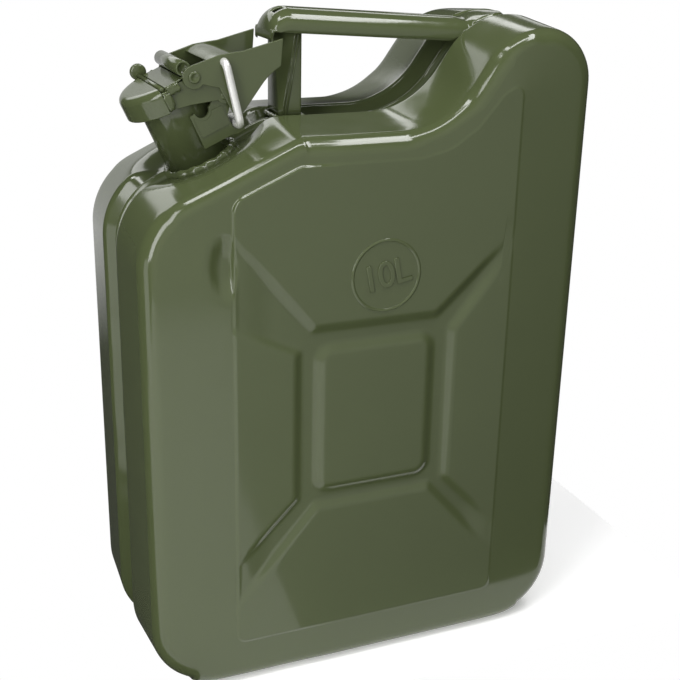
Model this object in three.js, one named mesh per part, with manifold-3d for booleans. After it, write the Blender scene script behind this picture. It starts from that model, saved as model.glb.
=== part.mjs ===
// Ten litre pressed steel jerry can with a cam lever closure.
// Millimetres, +Z up, +X towards the rear of the can, the spout leans towards -X.
import * as THREE from 'three';
import { mergeVertices } from 'three/addons/utils/BufferGeometryUtils.js';
import Module from 'manifold-3d';

const wasm = await Module();
wasm.setup();

// Driving dimensions of the body
const CAN_WIDTH = 270;
const CAN_DEPTH = 134;
const SHEET = 0.9;
const GAP = 0.3;
const HALF = CAN_WIDTH / 2;
const VALLEY_Z = 331;
const REAR_Z = 383;
const SLOPE_DEG = 24.4;
const BASE_RADIUS = 40;
const REAR_RADIUS = 33;
const HUMP = [77, 42];
const SWAN = [40.7, 52];
const ROOF_RADIUS = 20;
const SHOULDER_RADIUS = 44;
const OUTLINE_STEP_DEG = 11;

// Cross-section of one pressed half, measured inwards from the widest outline
const RECESS_DEPTH = 7;
const RECESS_FLOOR = 9;
const RIDGE_AT = 16;
const RIDGE_TOE = 0.3;
const RIDGE_RISE = 4;
const EDGE_RADIUS = 9;
const EDGE_STEPS = 4;
const RIM_INSET = 12;
const SIDE_DRAFT_DEG = 2.5;
const TOP_DRAFT_DEG = 4.5;
const MARGIN_SLOPE = 0.085;

// Pressed panel: crease outline, channels and centre pad
const CREASE_X = 84;
const CREASE_LOW = 30;
const CREASE_TOP = 313.5;
const CREASE_FRONT = 297.5;
const CREASE_STEP = 0.2;
const PAD_HALF = 35;
const PAD_LOW = 122;
const PAD_HIGH = 210;
const CHANNEL_SIDE = 13;
const CHANNEL_RISE = 11.5;
const CHANNEL_DEPTH = 2.4;
const ARM_WIDTH = 18;
const ARM_ROOT = 6;
const ARM_END_X = 74;
const ARM_HIGH_Z = 248;
const ARM_LOW_Z = 78;

// Neck and closure, in the frame of the neck: u rearwards, s along its axis
const NECK_X = -84.7;
const NECK_Z = 313.3;
const NECK_RADIUS = 19;
const NECK_WALL = 1.2;
const NECK_TOP = 34.5;
const NECK_ROOT = -15;
const LIP = 0.8;
const LIP_FOOT = 3.5;
const PIPE_RADIUS = 4;
const PIPE_WALL = 1;
const CAP_RADIUS = 26.5;
const CAP_TOP = 43.5;
const CAP_SKIRT = 30;
const CAP_SHEET = 1.4;
const CAP_BACK_HALF = 22.6;
const CAP_STEP = -4;
const CHEEK_SHEET = 1.3;
const LOCK_AT = [-6.5, 42.8];
const LOCK_RADIUS = 1.3;
const LOCK_ENDS = [-22.6, 30];
const KNOB_RADIUS = 4.6;
const KNOB_AT = [LOCK_AT[0] + 0.9, LOCK_AT[1] + 1.8];
const KNOB_ENDS = [27.6, 31.4];
const CURL_AT = [8.6, 47.5];
const CURL_RADIUS = 4;
const CURL_BORE = 3;
const CURL_HALF = 21;
const HINGE = [22.5, 24.5];
const HINGE_RADIUS = 2;
const HINGE_HALF = 22.9;
const HINGE_EYE = 4.4;
const PIVOT = [11.5, 41.3];
const PIN_RADIUS = 2.5;
const RIVET_RADIUS = 3.6;
const RIVET_ENDS = [24.9, 25.7];
const LEVER_EAR = 6.2;
const BAIL_TOP = [29.5, 41.5];
const BAIL_FOOT = [22.8, 7.5];
const BAIL_RADIUS = 2.2;
const BAIL_LEG_Y = 28.2;
const BAIL_BEND = 4;
const BAIL_HOOK = 2.4;
const THROUGH = 30;
const LEVER_IN = 23.1;
const LEVER_SHEET = 1.5;
const BRACKET_IN = 19.3;
const BRACKET_SHEET = 1.6;

// Carrying handle
const POST_FRONT = -38.5;
const POST_BACK = -25;
const POST_HALF = 10.2;
const BAR_FRONT = -43;
const BAR_BACK = 86;
const BAR_CROWN_FRONT = 388;
const BAR_CROWN_BACK = 378.8;
const BAR_HALF = 13;
const BAR_SHEET = 1.6;
const BAR_HEIGHT = 11.5;
const BAR_CURVE = 9;
const TAB_FOOT = 371;
const POST_TOP = 379;
const TONGUE_FROM = 70;
const TONGUE_TO = 103;
const TONGUE_HALF = 11;
const TONGUE_INSET = 2.8;
const TONGUE_SHEET = 1.8;

const rad = THREE.MathUtils.degToRad;
const PAINT = { color: 0x565e42, roughness: 0.28, metalness: 0.1 };
const ZINC = { color: 0xd5d5d0, roughness: 0.3, metalness: 0.9 };
const RUBBER = { color: 0x1d1d1b, roughness: 0.8, metalness: 0.0 };

const can = new THREE.Group();
can.name = 'jerry_can';

// Turns a closed buffer geometry into a solid that can be cut and joined.
function solid(geometry, matrix) {
  const bare = new THREE.BufferGeometry();
  bare.setAttribute('position', geometry.getAttribute('position').clone());
  if (geometry.index) {
    bare.setIndex(geometry.index.clone());
  }
  if (matrix) {
    bare.applyMatrix4(matrix);
  }
  const merged = mergeVertices(bare, 1e-4);
  const index = merged.index.array;
  const kept = [];
  for (let i = 0; i < index.length; i += 3) {
    const [a, b, c] = [index[i], index[i + 1], index[i + 2]];
    if (a !== b && b !== c && a !== c) {
      kept.push(a, b, c);
    }
  }
  const points = merged.getAttribute('position');
  const corner = (i) => new THREE.Vector3().fromBufferAttribute(points, i);
  let volume = 0;
  for (let i = 0; i < kept.length; i += 3) {
    volume += corner(kept[i]).dot(corner(kept[i + 1]).cross(corner(kept[i + 2])));
  }
  if (volume < 0) {
    kept.reverse();
  }
  return new wasm.Manifold(new wasm.Mesh({
    numProp: 3,
    vertProperties: Float32Array.from(points.array),
    triVerts: Uint32Array.from(kept),
  }));
}

function addMesh(group, name, body, look) {
  const data = body.getMesh();
  const geometry = new THREE.BufferGeometry();
  geometry.setAttribute('position', new THREE.BufferAttribute(data.vertProperties, 3));
  geometry.setIndex(new THREE.BufferAttribute(data.triVerts, 1));
  geometry.computeVertexNormals();
  const mesh = new THREE.Mesh(geometry, new THREE.MeshStandardMaterial(look));
  mesh.name = name;
  group.add(mesh);
  return mesh;
}

const union = (bodies) => bodies.reduce((sum, body) => sum.add(body));

// A flat outline in X and Z, given thickness between two values of Y.
function plate(outline, yLow, yHigh, curveSegments = 8) {
  const shape = outline instanceof THREE.Shape ? outline : new THREE.Shape(
    outline.map(([x, z]) => new THREE.Vector2(x, z)),
  );
  const options = { depth: yHigh - yLow, bevelEnabled: false, curveSegments };
  const geometry = new THREE.ExtrudeGeometry(shape, options);
  geometry.rotateX(Math.PI / 2);
  geometry.translate(0, yHigh, 0);
  return solid(geometry);
}

function box(lo, hi) {
  const geometry = new THREE.BoxGeometry(hi[0] - lo[0], hi[1] - lo[1], hi[2] - lo[2]);
  geometry.translate((lo[0] + hi[0]) / 2, (lo[1] + hi[1]) / 2, (lo[2] + hi[2]) / 2);
  return solid(geometry);
}

// A ring or a full cylinder that runs along Y, centred at [x, z].
function rod([x, z], radius, yLow, yHigh, hole = 0, segments = 10) {
  const shape = new THREE.Shape().absarc(x, z, radius, 0, Math.PI * 2);
  if (hole > 0) {
    shape.holes.push(new THREE.Path().absarc(x, z, hole, 0, Math.PI * 2, true));
  }
  return plate(shape, yLow, yHigh, segments);
}

// A turned body about the neck axis from a closed profile of [radius, s].
function turned(profile, segments = 36) {
  const closed = [...profile, profile[0]];
  const points = closed.map(([r, s]) => new THREE.Vector2(Math.max(r, 0), s));
  const geometry = new THREE.LatheGeometry(points, segments);
  geometry.rotateX(Math.PI / 2);
  geometry.scale(1, -1, 1);
  return solid(geometry);
}

// A round wire or pipe along a smooth path.
function wire(path, radius, steps, hole = 0, sides = 6) {
  const shape = new THREE.Shape().absarc(0, 0, radius, 0, Math.PI * 2);
  if (hole > 0) {
    shape.holes.push(new THREE.Path().absarc(0, 0, hole, 0, Math.PI * 2, true));
  }
  const options = { steps, extrudePath: path, bevelEnabled: false, curveSegments: sides };
  return solid(new THREE.ExtrudeGeometry(shape, options));
}

// Closed outline with rounded corners, as points that carry their outward normal.
function roundedOutline(corners, stepDeg) {
  const points = [];
  corners.forEach(([x, z, radius], i) => {
    const here = new THREE.Vector2(x, z);
    const [bx, bz] = corners[(i + corners.length - 1) % corners.length];
    const [ax, az] = corners[(i + 1) % corners.length];
    const along = new THREE.Vector2(x - bx, z - bz).normalize();
    const next = new THREE.Vector2(ax - x, az - z).normalize();
    const turn = Math.atan2(along.cross(next), along.dot(next));
    const reach = radius * Math.tan(Math.abs(turn) / 2);
    const start = here.clone().addScaledVector(along, -reach);
    const side = Math.sign(turn);
    const centre = start.clone().add(
      new THREE.Vector2(-along.y, along.x).multiplyScalar(side * radius),
    );
    const count = Math.max(2, Math.round(Math.abs(turn) / rad(stepDeg)));
    for (let k = 0; k <= count; k += 1) {
      const spin = (turn * k) / count;
      const heading = along.clone().rotateAround(new THREE.Vector2(), spin);
      const normal = new THREE.Vector2(heading.y, -heading.x);
      const at = centre.clone().addScaledVector(normal, side * radius);
      points.push({ x: at.x, z: at.y, nx: normal.x, nz: normal.y });
    }
  });
  return points;
}

// Widest outline of the can seen from its broad side, counter-clockwise.
const slope = Math.tan(rad(SLOPE_DEG));
const shoulderZ = NECK_Z - slope * (NECK_X + HALF);
const roofX = NECK_X + (VALLEY_Z - NECK_Z) / slope;
const outline = roundedOutline([
  [-HALF, 0, BASE_RADIUS],
  [HALF, 0, BASE_RADIUS],
  [HALF, REAR_Z, REAR_RADIUS],
  [HUMP[0], REAR_Z, HUMP[1]],
  [SWAN[0], VALLEY_Z, SWAN[1]],
  [roofX, VALLEY_Z, ROOF_RADIUS],
  [-HALF, shoulderZ, SHOULDER_RADIUS],
], OUTLINE_STEP_DEG);

// Crease around the flat panel, counter-clockwise, with the rear swan neck.
const crease = [
  [-CREASE_X, CREASE_LOW], [CREASE_X, CREASE_LOW], [CREASE_X, 350], [78, 350], [73, 345], [63, 333],
  [54, 325], [42, 318.3], [28, CREASE_TOP + 1.2], [14, CREASE_TOP], [-47, CREASE_TOP],
  [-CREASE_X, CREASE_FRONT],
];

function distanceToCrease(x, z) {
  let best = Infinity;
  const p = new THREE.Vector3(x, z, 0);
  crease.forEach(([ax, az], i) => {
    const [bx, bz] = crease[(i + 1) % crease.length];
    const edge = new THREE.Line3(new THREE.Vector3(ax, az, 0), new THREE.Vector3(bx, bz, 0));
    best = Math.min(best, edge.closestPointToPoint(p, true, new THREE.Vector3()).distanceTo(p));
  });
  return best;
}

function offsetPolygon(points, inset) {
  return points.map(([x, z], i) => {
    const [bx, bz] = points[(i + points.length - 1) % points.length];
    const [ax, az] = points[(i + 1) % points.length];
    const d1 = new THREE.Vector2(x - bx, z - bz).normalize();
    const d2 = new THREE.Vector2(ax - x, az - z).normalize();
    const n1 = new THREE.Vector2(-d1.y, d1.x);
    const n2 = new THREE.Vector2(-d2.y, d2.x);
    const push = n1.clone().add(n2).multiplyScalar(inset / (1 + n1.dot(n2)));
    return [x + push.x, z + push.y];
  });
}

// Outline of the X-shaped channel: a frame round the pad with an arm at each corner.
function channelOutline() {
  const right = PAD_HALF + CHANNEL_SIDE;
  const top = PAD_HIGH + CHANNEL_RISE;
  const low = PAD_LOW - CHANNEL_RISE;
  const points = [];
  const arm = (sx, zFrame, zEnd) => {
    const inwards = Math.sign(zFrame - zEnd) * ARM_ROOT;
    const from = new THREE.Vector2(sx * (right - ARM_ROOT), zFrame + inwards);
    const to = new THREE.Vector2(sx * ARM_END_X, zEnd);
    const dir = to.clone().sub(from).normalize();
    const nrm = new THREE.Vector2(-dir.y, dir.x).multiplyScalar(ARM_WIDTH / 2);
    const a = from.clone().add(nrm);
    const b = from.clone().sub(nrm);
    const meets = (p) => (Math.abs(p.x) > Math.abs(from.x) ? (sx * right - p.x) / dir.x
      : (zFrame - p.y) / dir.y);
    const list = [b, a].map((p) => {
      const k = meets(p);
      return [[p.x + dir.x * k, p.y + dir.y * k], [p.x + to.x - from.x, p.y + to.y - from.y]];
    });
    points.push(list[0][0], list[0][1], list[1][1], list[1][0]);
  };
  arm(1, low, ARM_LOW_Z);
  arm(1, top, ARM_HIGH_Z);
  arm(-1, top, ARM_HIGH_Z);
  arm(-1, low, ARM_LOW_Z);
  return points;
}

// One pressed half. side is -1 for the half at -Y and +1 for the half at +Y.
function pressedHalf(side) {
  const vertices = [];
  const triangles = [];
  const put = (x, v, z) => vertices.push(x, side * v, z) / 3 - 1;
  const face = (a, b, c) => triangles.push(a, b, c);
  const count = outline.length;
  const panelV = CAN_DEPTH / 2;

  // Stations of the wall from the seam to the edge of the face, as [inset, depth] for one point.
  const wallStations = (p, skin) => {
    const lean = rad(SIDE_DRAFT_DEG + (TOP_DRAFT_DEG - SIDE_DRAFT_DEG) * Math.max(0, p.nz));
    const draft = Math.tan(lean) * (p.nz < -0.9 ? 0 : 1);
    const away = distanceToCrease(p.x - p.nx * RIM_INSET, p.z - p.nz * RIM_INSET);
    const rim = panelV - MARGIN_SLOPE * away - CREASE_STEP;
    const wallEnd = rim - EDGE_RADIUS;
    const drop = draft * (wallEnd - RIDGE_AT);
    const radius = EDGE_RADIUS - skin;
    const list = [
      [RECESS_DEPTH + skin, GAP / 2],
      [RECESS_DEPTH + skin, RECESS_FLOOR + skin * 0.5],
      [RECESS_DEPTH * RIDGE_TOE + skin, RIDGE_AT - RIDGE_RISE + skin * 0.7],
      [skin, RIDGE_AT + skin * 0.4],
      [drop + skin, wallEnd],
    ];
    for (let k = 1; k <= EDGE_STEPS; k += 1) {
      const a = (Math.PI / 2) * (k / EDGE_STEPS);
      list.push([drop + EDGE_RADIUS - radius * Math.cos(a), wallEnd + radius * Math.sin(a)]);
    }
    return list;
  };

  const ringsOf = (skin) => {
    const perPoint = outline.map((p) => wallStations(p, skin));
    return perPoint[0].map((_, k) => outline.map((p, i) => {
      const [inset, v] = perPoint[i][k];
      return put(p.x - p.nx * inset, v, p.z - p.nz * inset);
    }));
  };
  const outer = ringsOf(0);
  const inner = ringsOf(SHEET);
  const rings = [...inner.slice().reverse(), ...outer];
  for (let k = 0; k + 1 < rings.length; k += 1) {
    for (let i = 0; i < count; i += 1) {
      const j = (i + 1) % count;
      face(rings[k][i], rings[k][j], rings[k + 1][j]);
      face(rings[k][i], rings[k + 1][j], rings[k + 1][i]);
    }
  }

  // Flat and sloping regions of the face, one polygon inside another.
  const region = (loop, holes, flip) => {
    const point = (i) => new THREE.Vector2(vertices[3 * i], vertices[3 * i + 2]);
    const all = [...loop, ...holes.flat()];
    const cut = THREE.ShapeUtils.triangulateShape(loop.map(point), holes.map((h) => h.map(point)));
    cut.forEach((corners) => {
      const [a, b, c] = corners.map((n) => all[n]);
      const spread = point(b).sub(point(a)).cross(point(c).sub(point(a)));
      if ((spread > 0) === flip) {
        face(a, c, b);
      } else {
        face(a, b, c);
      }
    });
  };
  const band = (from, to, flip) => {
    from.forEach((_, i) => {
      const j = (i + 1) % from.length;
      if (flip) {
        face(from[i], to[j], from[j]);
        face(from[i], to[i], to[j]);
      } else {
        face(from[i], from[j], to[j]);
        face(from[i], to[j], to[i]);
      }
    });
  };
  const channel = channelOutline();
  const floor = offsetPolygon(channel, CHANNEL_DEPTH);
  const padTop = [
    [-PAD_HALF, PAD_LOW], [PAD_HALF, PAD_LOW], [PAD_HALF, PAD_HIGH], [-PAD_HALF, PAD_HIGH],
  ];
  const padFoot = offsetPolygon(padTop, -CHANNEL_DEPTH);
  const pressFace = (rim, skin, flip) => {
    const level = (list, v) => list.map(([x, z]) => put(x, v - skin, z));
    const creaseLoop = level(crease, panelV);
    const channelLoop = level(channel, panelV);
    const floorLoop = level(floor, panelV - CHANNEL_DEPTH);
    const footLoop = level(padFoot, panelV - CHANNEL_DEPTH);
    const padLoop = level(padTop, panelV);
    region(rim, [creaseLoop], flip);
    region(creaseLoop, [channelLoop], flip);
    band(channelLoop, floorLoop, flip);
    region(floorLoop, [footLoop], flip);
    band(footLoop, padLoop, flip);
    region(padLoop, [], flip);
  };
  pressFace(outer[outer.length - 1], 0, false);
  pressFace(inner[inner.length - 1], SHEET, true);

  const geometry = new THREE.BufferGeometry();
  geometry.setAttribute('position', new THREE.Float32BufferAttribute(vertices, 3));
  geometry.setIndex(triangles);
  return solid(geometry);
}

// The frame of the neck: its local x is u and its local z is s.
const neckFrame = new THREE.Group();
neckFrame.name = 'closure';
neckFrame.position.set(NECK_X, 0, NECK_Z);
neckFrame.rotation.y = -rad(SLOPE_DEG);
neckFrame.updateMatrix();
can.add(neckFrame);

const neckHole = solid(
  new THREE.CylinderGeometry(NECK_RADIUS + GAP, NECK_RADIUS + GAP, 60, 36).rotateX(Math.PI / 2),
  neckFrame.matrix,
);
addMesh(can, 'near_shell', pressedHalf(-1).subtract(neckHole), PAINT);
addMesh(can, 'far_shell', pressedHalf(1).subtract(neckHole), PAINT);

// Weld bead that closes the seam at the bottom of the recess.
const BEAD_TOP = 3.2;
const insetOutline = (inset) => outline.map((p) => [p.x - p.nx * inset, p.z - p.nz * inset]);

function seamBead() {
  const strip = (insetOut, insetIn, half) => plate(insetOutline(insetOut), -half, half)
    .subtract(plate(insetOutline(insetIn), -half - 1, half + 1));
  const floor = RECESS_DEPTH - GAP;
  return union([strip(BEAD_TOP, floor, 1.1), strip(BEAD_TOP + 1.4, floor, 2.2)]);
}
addMesh(can, 'seam_weld', seamBead().subtract(neckHole), PAINT);

// Neck tube with a rolled mouth, its weld bead and the breather pipe inside.
const bore = NECK_RADIUS - NECK_WALL;
addMesh(neckFrame, 'neck_tube', turned([
  [bore, NECK_ROOT], [NECK_RADIUS, NECK_ROOT],
  [NECK_RADIUS, NECK_TOP - LIP_FOOT], [NECK_RADIUS + LIP, NECK_TOP - LIP_FOOT + 1.1],
  [NECK_RADIUS + LIP, NECK_TOP - LIP], [NECK_RADIUS, NECK_TOP],
  [bore + 0.6, NECK_TOP], [bore, NECK_TOP - LIP],
]), PAINT);
addMesh(neckFrame, 'neck_weld', turned([
  [19.4, 0.5], [22.8, 0.5], [22.4, 2.1], [21.2, 3.3], [20, 4], [19.4, 4.2],
]), PAINT);

const pipePath = new THREE.CatmullRomCurve3([
  new THREE.Vector3(12, 0, 32), new THREE.Vector3(12, 0, 10), new THREE.Vector3(12, 0, -14),
  new THREE.Vector3(20, 0, -27), new THREE.Vector3(44, 0, -40), new THREE.Vector3(74, 0, -53),
]);
addMesh(neckFrame, 'breather_pipe', wire(pipePath, PIPE_RADIUS, 18, PIPE_RADIUS - PIPE_WALL), PAINT);

// Saddle bracket on the neck: two cheeks with hinge scoops, bail hooks and a bridge behind the neck.
function neckBracket() {
  const [footU, footS] = BAIL_FOOT;
  const seat = BAIL_RADIUS + 0.45;
  const cheek = new THREE.Shape();
  cheek.moveTo(1, 4.6);
  cheek.lineTo(18, 4.6);
  cheek.lineTo(20.5, 2.4);
  cheek.lineTo(25.4, 2.4);
  cheek.lineTo(27, 4.8);
  cheek.absarc(footU, footS, seat, -0.75, -Math.PI, true);
  cheek.lineTo(footU - seat, 14);
  cheek.lineTo(25.6, 20.6);
  cheek.absarc(HINGE[0], HINGE[1], HINGE_EYE, -0.8, 2.4);
  cheek.lineTo(12.6, 22.6);
  cheek.absarc(8.2, 23, 4.2, 0, -Math.PI, true);
  cheek.lineTo(1, 22.6);
  const near = plate(cheek, -BRACKET_IN - BRACKET_SHEET, -BRACKET_IN);
  const far = plate(cheek, BRACKET_IN, BRACKET_IN + BRACKET_SHEET);
  const bridge = box([19.4, -BRACKET_IN - 0.5, 11.2], [20.1, BRACKET_IN + 0.5, 21]);
  return union([near, far, bridge]).subtract(rod(HINGE, HINGE_RADIUS + GAP, -THROUGH, THROUGH));
}
addMesh(neckFrame, 'neck_bracket', neckBracket(), PAINT);
addMesh(neckFrame, 'hinge_pin', rod(HINGE, HINGE_RADIUS, -HINGE_HALF, HINGE_HALF), PAINT);

// Cap: round front with a skirt, straight cheeks behind it and a trough for the locking pin.
function capBody() {
  const front = (radius) => {
    const half = Math.sqrt(radius * radius - CAP_STEP * CAP_STEP);
    const from = Math.atan2(half, CAP_STEP);
    const shape = new THREE.Shape();
    shape.absarc(0, 0, radius, from, 2 * Math.PI - from);
    shape.lineTo(CAP_STEP, half);
    return shape;
  };
  const standing = (shape, low, high) => {
    const options = { depth: high - low, bevelEnabled: false, curveSegments: 16 };
    const geometry = new THREE.ExtrudeGeometry(shape, options);
    geometry.translate(0, 0, low);
    return solid(geometry);
  };
  const under = CAP_TOP - CAP_SHEET;
  const inset = CAP_RADIUS - CAP_SHEET;
  const bowl = standing(front(CAP_RADIUS), CAP_SKIRT, CAP_TOP)
    .subtract(standing(front(inset), CAP_SKIRT - 1, under));
  const deck = box([CAP_STEP - 1, -CAP_BACK_HALF, under], [5, CAP_BACK_HALF, CAP_TOP]);
  const cheek = new THREE.Shape();
  cheek.moveTo(CAP_STEP - CAP_SHEET, CAP_TOP);
  cheek.lineTo(CAP_STEP - CAP_SHEET, CAP_SKIRT);
  cheek.lineTo(4, 28.6);
  cheek.lineTo(HINGE[0] - 4, HINGE[1] - 0.5);
  cheek.absarc(HINGE[0], HINGE[1], 4, Math.PI + 0.2, 2.5 * Math.PI - 0.7);
  cheek.lineTo(17, PIVOT[1]);
  cheek.absarc(PIVOT[0], PIVOT[1], 5.5, 0, Math.PI / 2);
  cheek.lineTo(4, CAP_TOP);
  const near = plate(cheek, -CAP_BACK_HALF, -CAP_BACK_HALF + CHEEK_SHEET);
  const far = plate(cheek, CAP_BACK_HALF - CHEEK_SHEET, CAP_BACK_HALF);
  const trough = box([LOCK_AT[0] - 2.9, -24.4, 40.3], [LOCK_AT[0] + 2.9, 24.4, under + 0.2]);
  const slot = box([LOCK_AT[0] - 1.6, -23.4, LOCK_AT[1] - 1.6], [LOCK_AT[0] + 1.6, 30, CAP_TOP + 1]);
  return union([bowl, deck, near, far, trough])
    .subtract(slot)
    .subtract(rod(PIVOT, PIN_RADIUS + GAP, -THROUGH, THROUGH))
    .subtract(rod(HINGE, HINGE_RADIUS + GAP, -THROUGH, THROUGH));
}
addMesh(neckFrame, 'cap', capBody(), PAINT);

// Rolled stiffening curl that spans the cheeks of the cap behind its deck.
addMesh(neckFrame, 'cap_curl', rod(CURL_AT, CURL_RADIUS, -CURL_HALF, CURL_HALF, CURL_BORE), PAINT);

// Seal under the cap: a rubber ring held by a round plate.
addMesh(neckFrame, 'cap_gasket', turned([
  [14.5, 34.9], [20, 34.9], [20, 37.2], [14.5, 37.2],
], 30), RUBBER);
addMesh(neckFrame, 'gasket_retainer', turned([
  [0, 37.5], [20.4, 37.5], [20.4, 38.3], [0, 38.3],
], 30), PAINT);

// Locking pin that slides in the trough, with a flat thumb knob at its far end.
addMesh(neckFrame, 'locking_pin', rod(LOCK_AT, LOCK_RADIUS, ...LOCK_ENDS, 0, 6), PAINT);
const knob = rod(KNOB_AT, KNOB_RADIUS, ...KNOB_ENDS)
  .subtract(rod(LOCK_AT, LOCK_RADIUS + GAP / 2, 20, LOCK_ENDS[1] + 0.2, 0, 6));
addMesh(neckFrame, 'locking_knob', knob, PAINT);

// Lever: two cheeks joined by a curved web, on a riveted pivot pin.
function leverBody() {
  const cheek = new THREE.Shape();
  cheek.moveTo(PIVOT[0] + 1.5, PIVOT[1] + LEVER_EAR - 0.1);
  cheek.lineTo(28.2, 46.9);
  cheek.lineTo(42.1, 43.4);
  cheek.lineTo(64.5, 39.6);
  cheek.lineTo(64, 27);
  cheek.lineTo(58.5, 26);
  cheek.quadraticCurveTo(50, 27, 44, 23);
  cheek.lineTo(27, 12.6);
  cheek.quadraticCurveTo(24, 10.8, 22.8, 13);
  cheek.lineTo(21.6, 30);
  cheek.lineTo(15.5, 34.6);
  cheek.absarc(PIVOT[0], PIVOT[1], LEVER_EAR, -1.1, -Math.PI * 1.5 + 0.1, true);
  const near = plate(cheek, -LEVER_IN - LEVER_SHEET, -LEVER_IN);
  const far = plate(cheek, LEVER_IN, LEVER_IN + LEVER_SHEET);
  const web = new THREE.Shape();
  web.moveTo(22.6, 44.6);
  web.quadraticCurveTo(32, 47.2, 40, 39.5);
  web.lineTo(38.9, 38.5);
  web.quadraticCurveTo(31.5, 45.2, 23.2, 43.1);
  const bridge = plate(web, -LEVER_IN - 0.2, LEVER_IN + 0.2, 6);
  return union([near, far, bridge])
    .subtract(rod(PIVOT, PIN_RADIUS + GAP, -THROUGH, THROUGH))
    .subtract(rod(BAIL_TOP, BAIL_RADIUS + GAP, -THROUGH, THROUGH));
}
addMesh(neckFrame, 'lever', leverBody(), PAINT);
const [rivetIn, rivetOut] = RIVET_ENDS;
addMesh(neckFrame, 'pivot_pin', union([
  rod(PIVOT, PIN_RADIUS, -rivetIn - GAP, rivetIn + GAP),
  rod(PIVOT, RIVET_RADIUS, -rivetOut, -rivetIn),
  rod(PIVOT, RIVET_RADIUS, rivetIn, rivetOut),
]), PAINT);

// Wire bail: foot bar behind the neck, two legs outside the lever and hooked upper ends.
function bailWire() {
  const [tx, tz] = BAIL_TOP;
  const [fx, fz] = BAIL_FOOT;
  const bend = BAIL_BEND;
  const up = new THREE.Vector3(tx - fx, 0, tz - fz).normalize();
  const path = new THREE.CurvePath();
  const foot = new THREE.Vector3(fx, 0, fz);
  const top = new THREE.Vector3(tx, 0, tz);
  const at = (base, y, climb) => base.clone().add(new THREE.Vector3(0, y, 0)).addScaledVector(up, climb);
  const corner = (a, mid, b) => path.add(new THREE.QuadraticBezierCurve3(a, mid, b));
  const line = (a, b) => path.add(new THREE.LineCurve3(a, b));
  const y = BAIL_LEG_Y;
  line(at(top, -LEVER_IN + BAIL_HOOK, 0), at(top, -y + bend, 0));
  corner(at(top, -y + bend, 0), at(top, -y, 0), at(top, -y, -bend));
  line(at(top, -y, -bend), at(foot, -y, bend));
  corner(at(foot, -y, bend), at(foot, -y, 0), at(foot, -y + bend, 0));
  line(at(foot, -y + bend, 0), at(foot, y - bend, 0));
  corner(at(foot, y - bend, 0), at(foot, y, 0), at(foot, y, bend));
  line(at(foot, y, bend), at(top, y, -bend));
  corner(at(top, y, -bend), at(top, y, 0), at(top, y - bend, 0));
  line(at(top, y - bend, 0), at(top, LEVER_IN - BAIL_HOOK, 0));
  return wire(path, BAIL_RADIUS, 52, 0, 5);
}
addMesh(neckFrame, 'bail', bailWire(), ZINC);

// Handle: channel bar with a rear tongue, standing on a folded post.
const barTilt = Math.atan2(BAR_CROWN_FRONT - BAR_CROWN_BACK, BAR_BACK - BAR_FRONT);

function barSection() {
  const out = new THREE.Shape();
  const inner = BAR_HALF - BAR_SHEET;
  out.moveTo(-BAR_HALF, -BAR_HEIGHT);
  out.lineTo(-BAR_HALF, -BAR_CURVE);
  out.bezierCurveTo(-BAR_HALF, -2.5, -8, 0, 0, 0);
  out.bezierCurveTo(8, 0, BAR_HALF, -2.5, BAR_HALF, -BAR_CURVE);
  out.lineTo(BAR_HALF, -BAR_HEIGHT);
  out.lineTo(inner, -BAR_HEIGHT);
  out.lineTo(inner, -BAR_CURVE);
  out.bezierCurveTo(inner, -3.8, 7.4, -BAR_SHEET, 0, -BAR_SHEET);
  out.bezierCurveTo(-7.4, -BAR_SHEET, -inner, -3.8, -inner, -BAR_CURVE);
  out.lineTo(-inner, -BAR_HEIGHT);
  return out;
}

function handleBar() {
  const length = (BAR_BACK - BAR_FRONT) / Math.cos(barTilt);
  const options = { depth: length, bevelEnabled: false, curveSegments: 6 };
  const bar = new THREE.ExtrudeGeometry(barSection(), options);
  const turn = new THREE.Matrix4().makeBasis(
    new THREE.Vector3(0, 1, 0),
    new THREE.Vector3(Math.sin(barTilt), 0, Math.cos(barTilt)),
    new THREE.Vector3(Math.cos(barTilt), 0, -Math.sin(barTilt)),
  ).setPosition(BAR_FRONT, 0, BAR_CROWN_FRONT);
  const channel = solid(bar, turn);
  // The channel stops at the ridges of the shoulder; its crown runs on into the recess as a tongue.
  const above = (inset, half) => plate(insetOutline(inset), -half, half);
  const core = channel.intersect(box([BAR_FRONT, -TONGUE_HALF, 0], [BAR_BACK, TONGUE_HALF, 400]));
  const strip = above(TONGUE_INSET - TONGUE_SHEET, TONGUE_HALF)
    .subtract(above(TONGUE_INSET, TONGUE_HALF + 1));
  const shape = new THREE.Shape();
  shape.moveTo(TONGUE_FROM, -TONGUE_HALF);
  shape.absarc(TONGUE_TO - TONGUE_HALF, 0, TONGUE_HALF, -Math.PI / 2, Math.PI / 2);
  shape.lineTo(TONGUE_FROM, TONGUE_HALF);
  const plan = new THREE.ExtrudeGeometry(shape, { depth: 60, bevelEnabled: false, curveSegments: 10 });
  plan.translate(0, 0, 355);
  const tab = box(
    [BAR_FRONT, -BAR_HALF + 2, TAB_FOOT],
    [BAR_FRONT + BAR_SHEET, BAR_HALF - 2, BAR_CROWN_FRONT - 1.2],
  );
  return union([
    channel.subtract(above(-GAP, 40)),
    core.subtract(above(TONGUE_INSET, 40)),
    strip.intersect(solid(plan)),
    tab,
  ]);
}
addMesh(can, 'handle_bar', handleBar(), PAINT);

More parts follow.
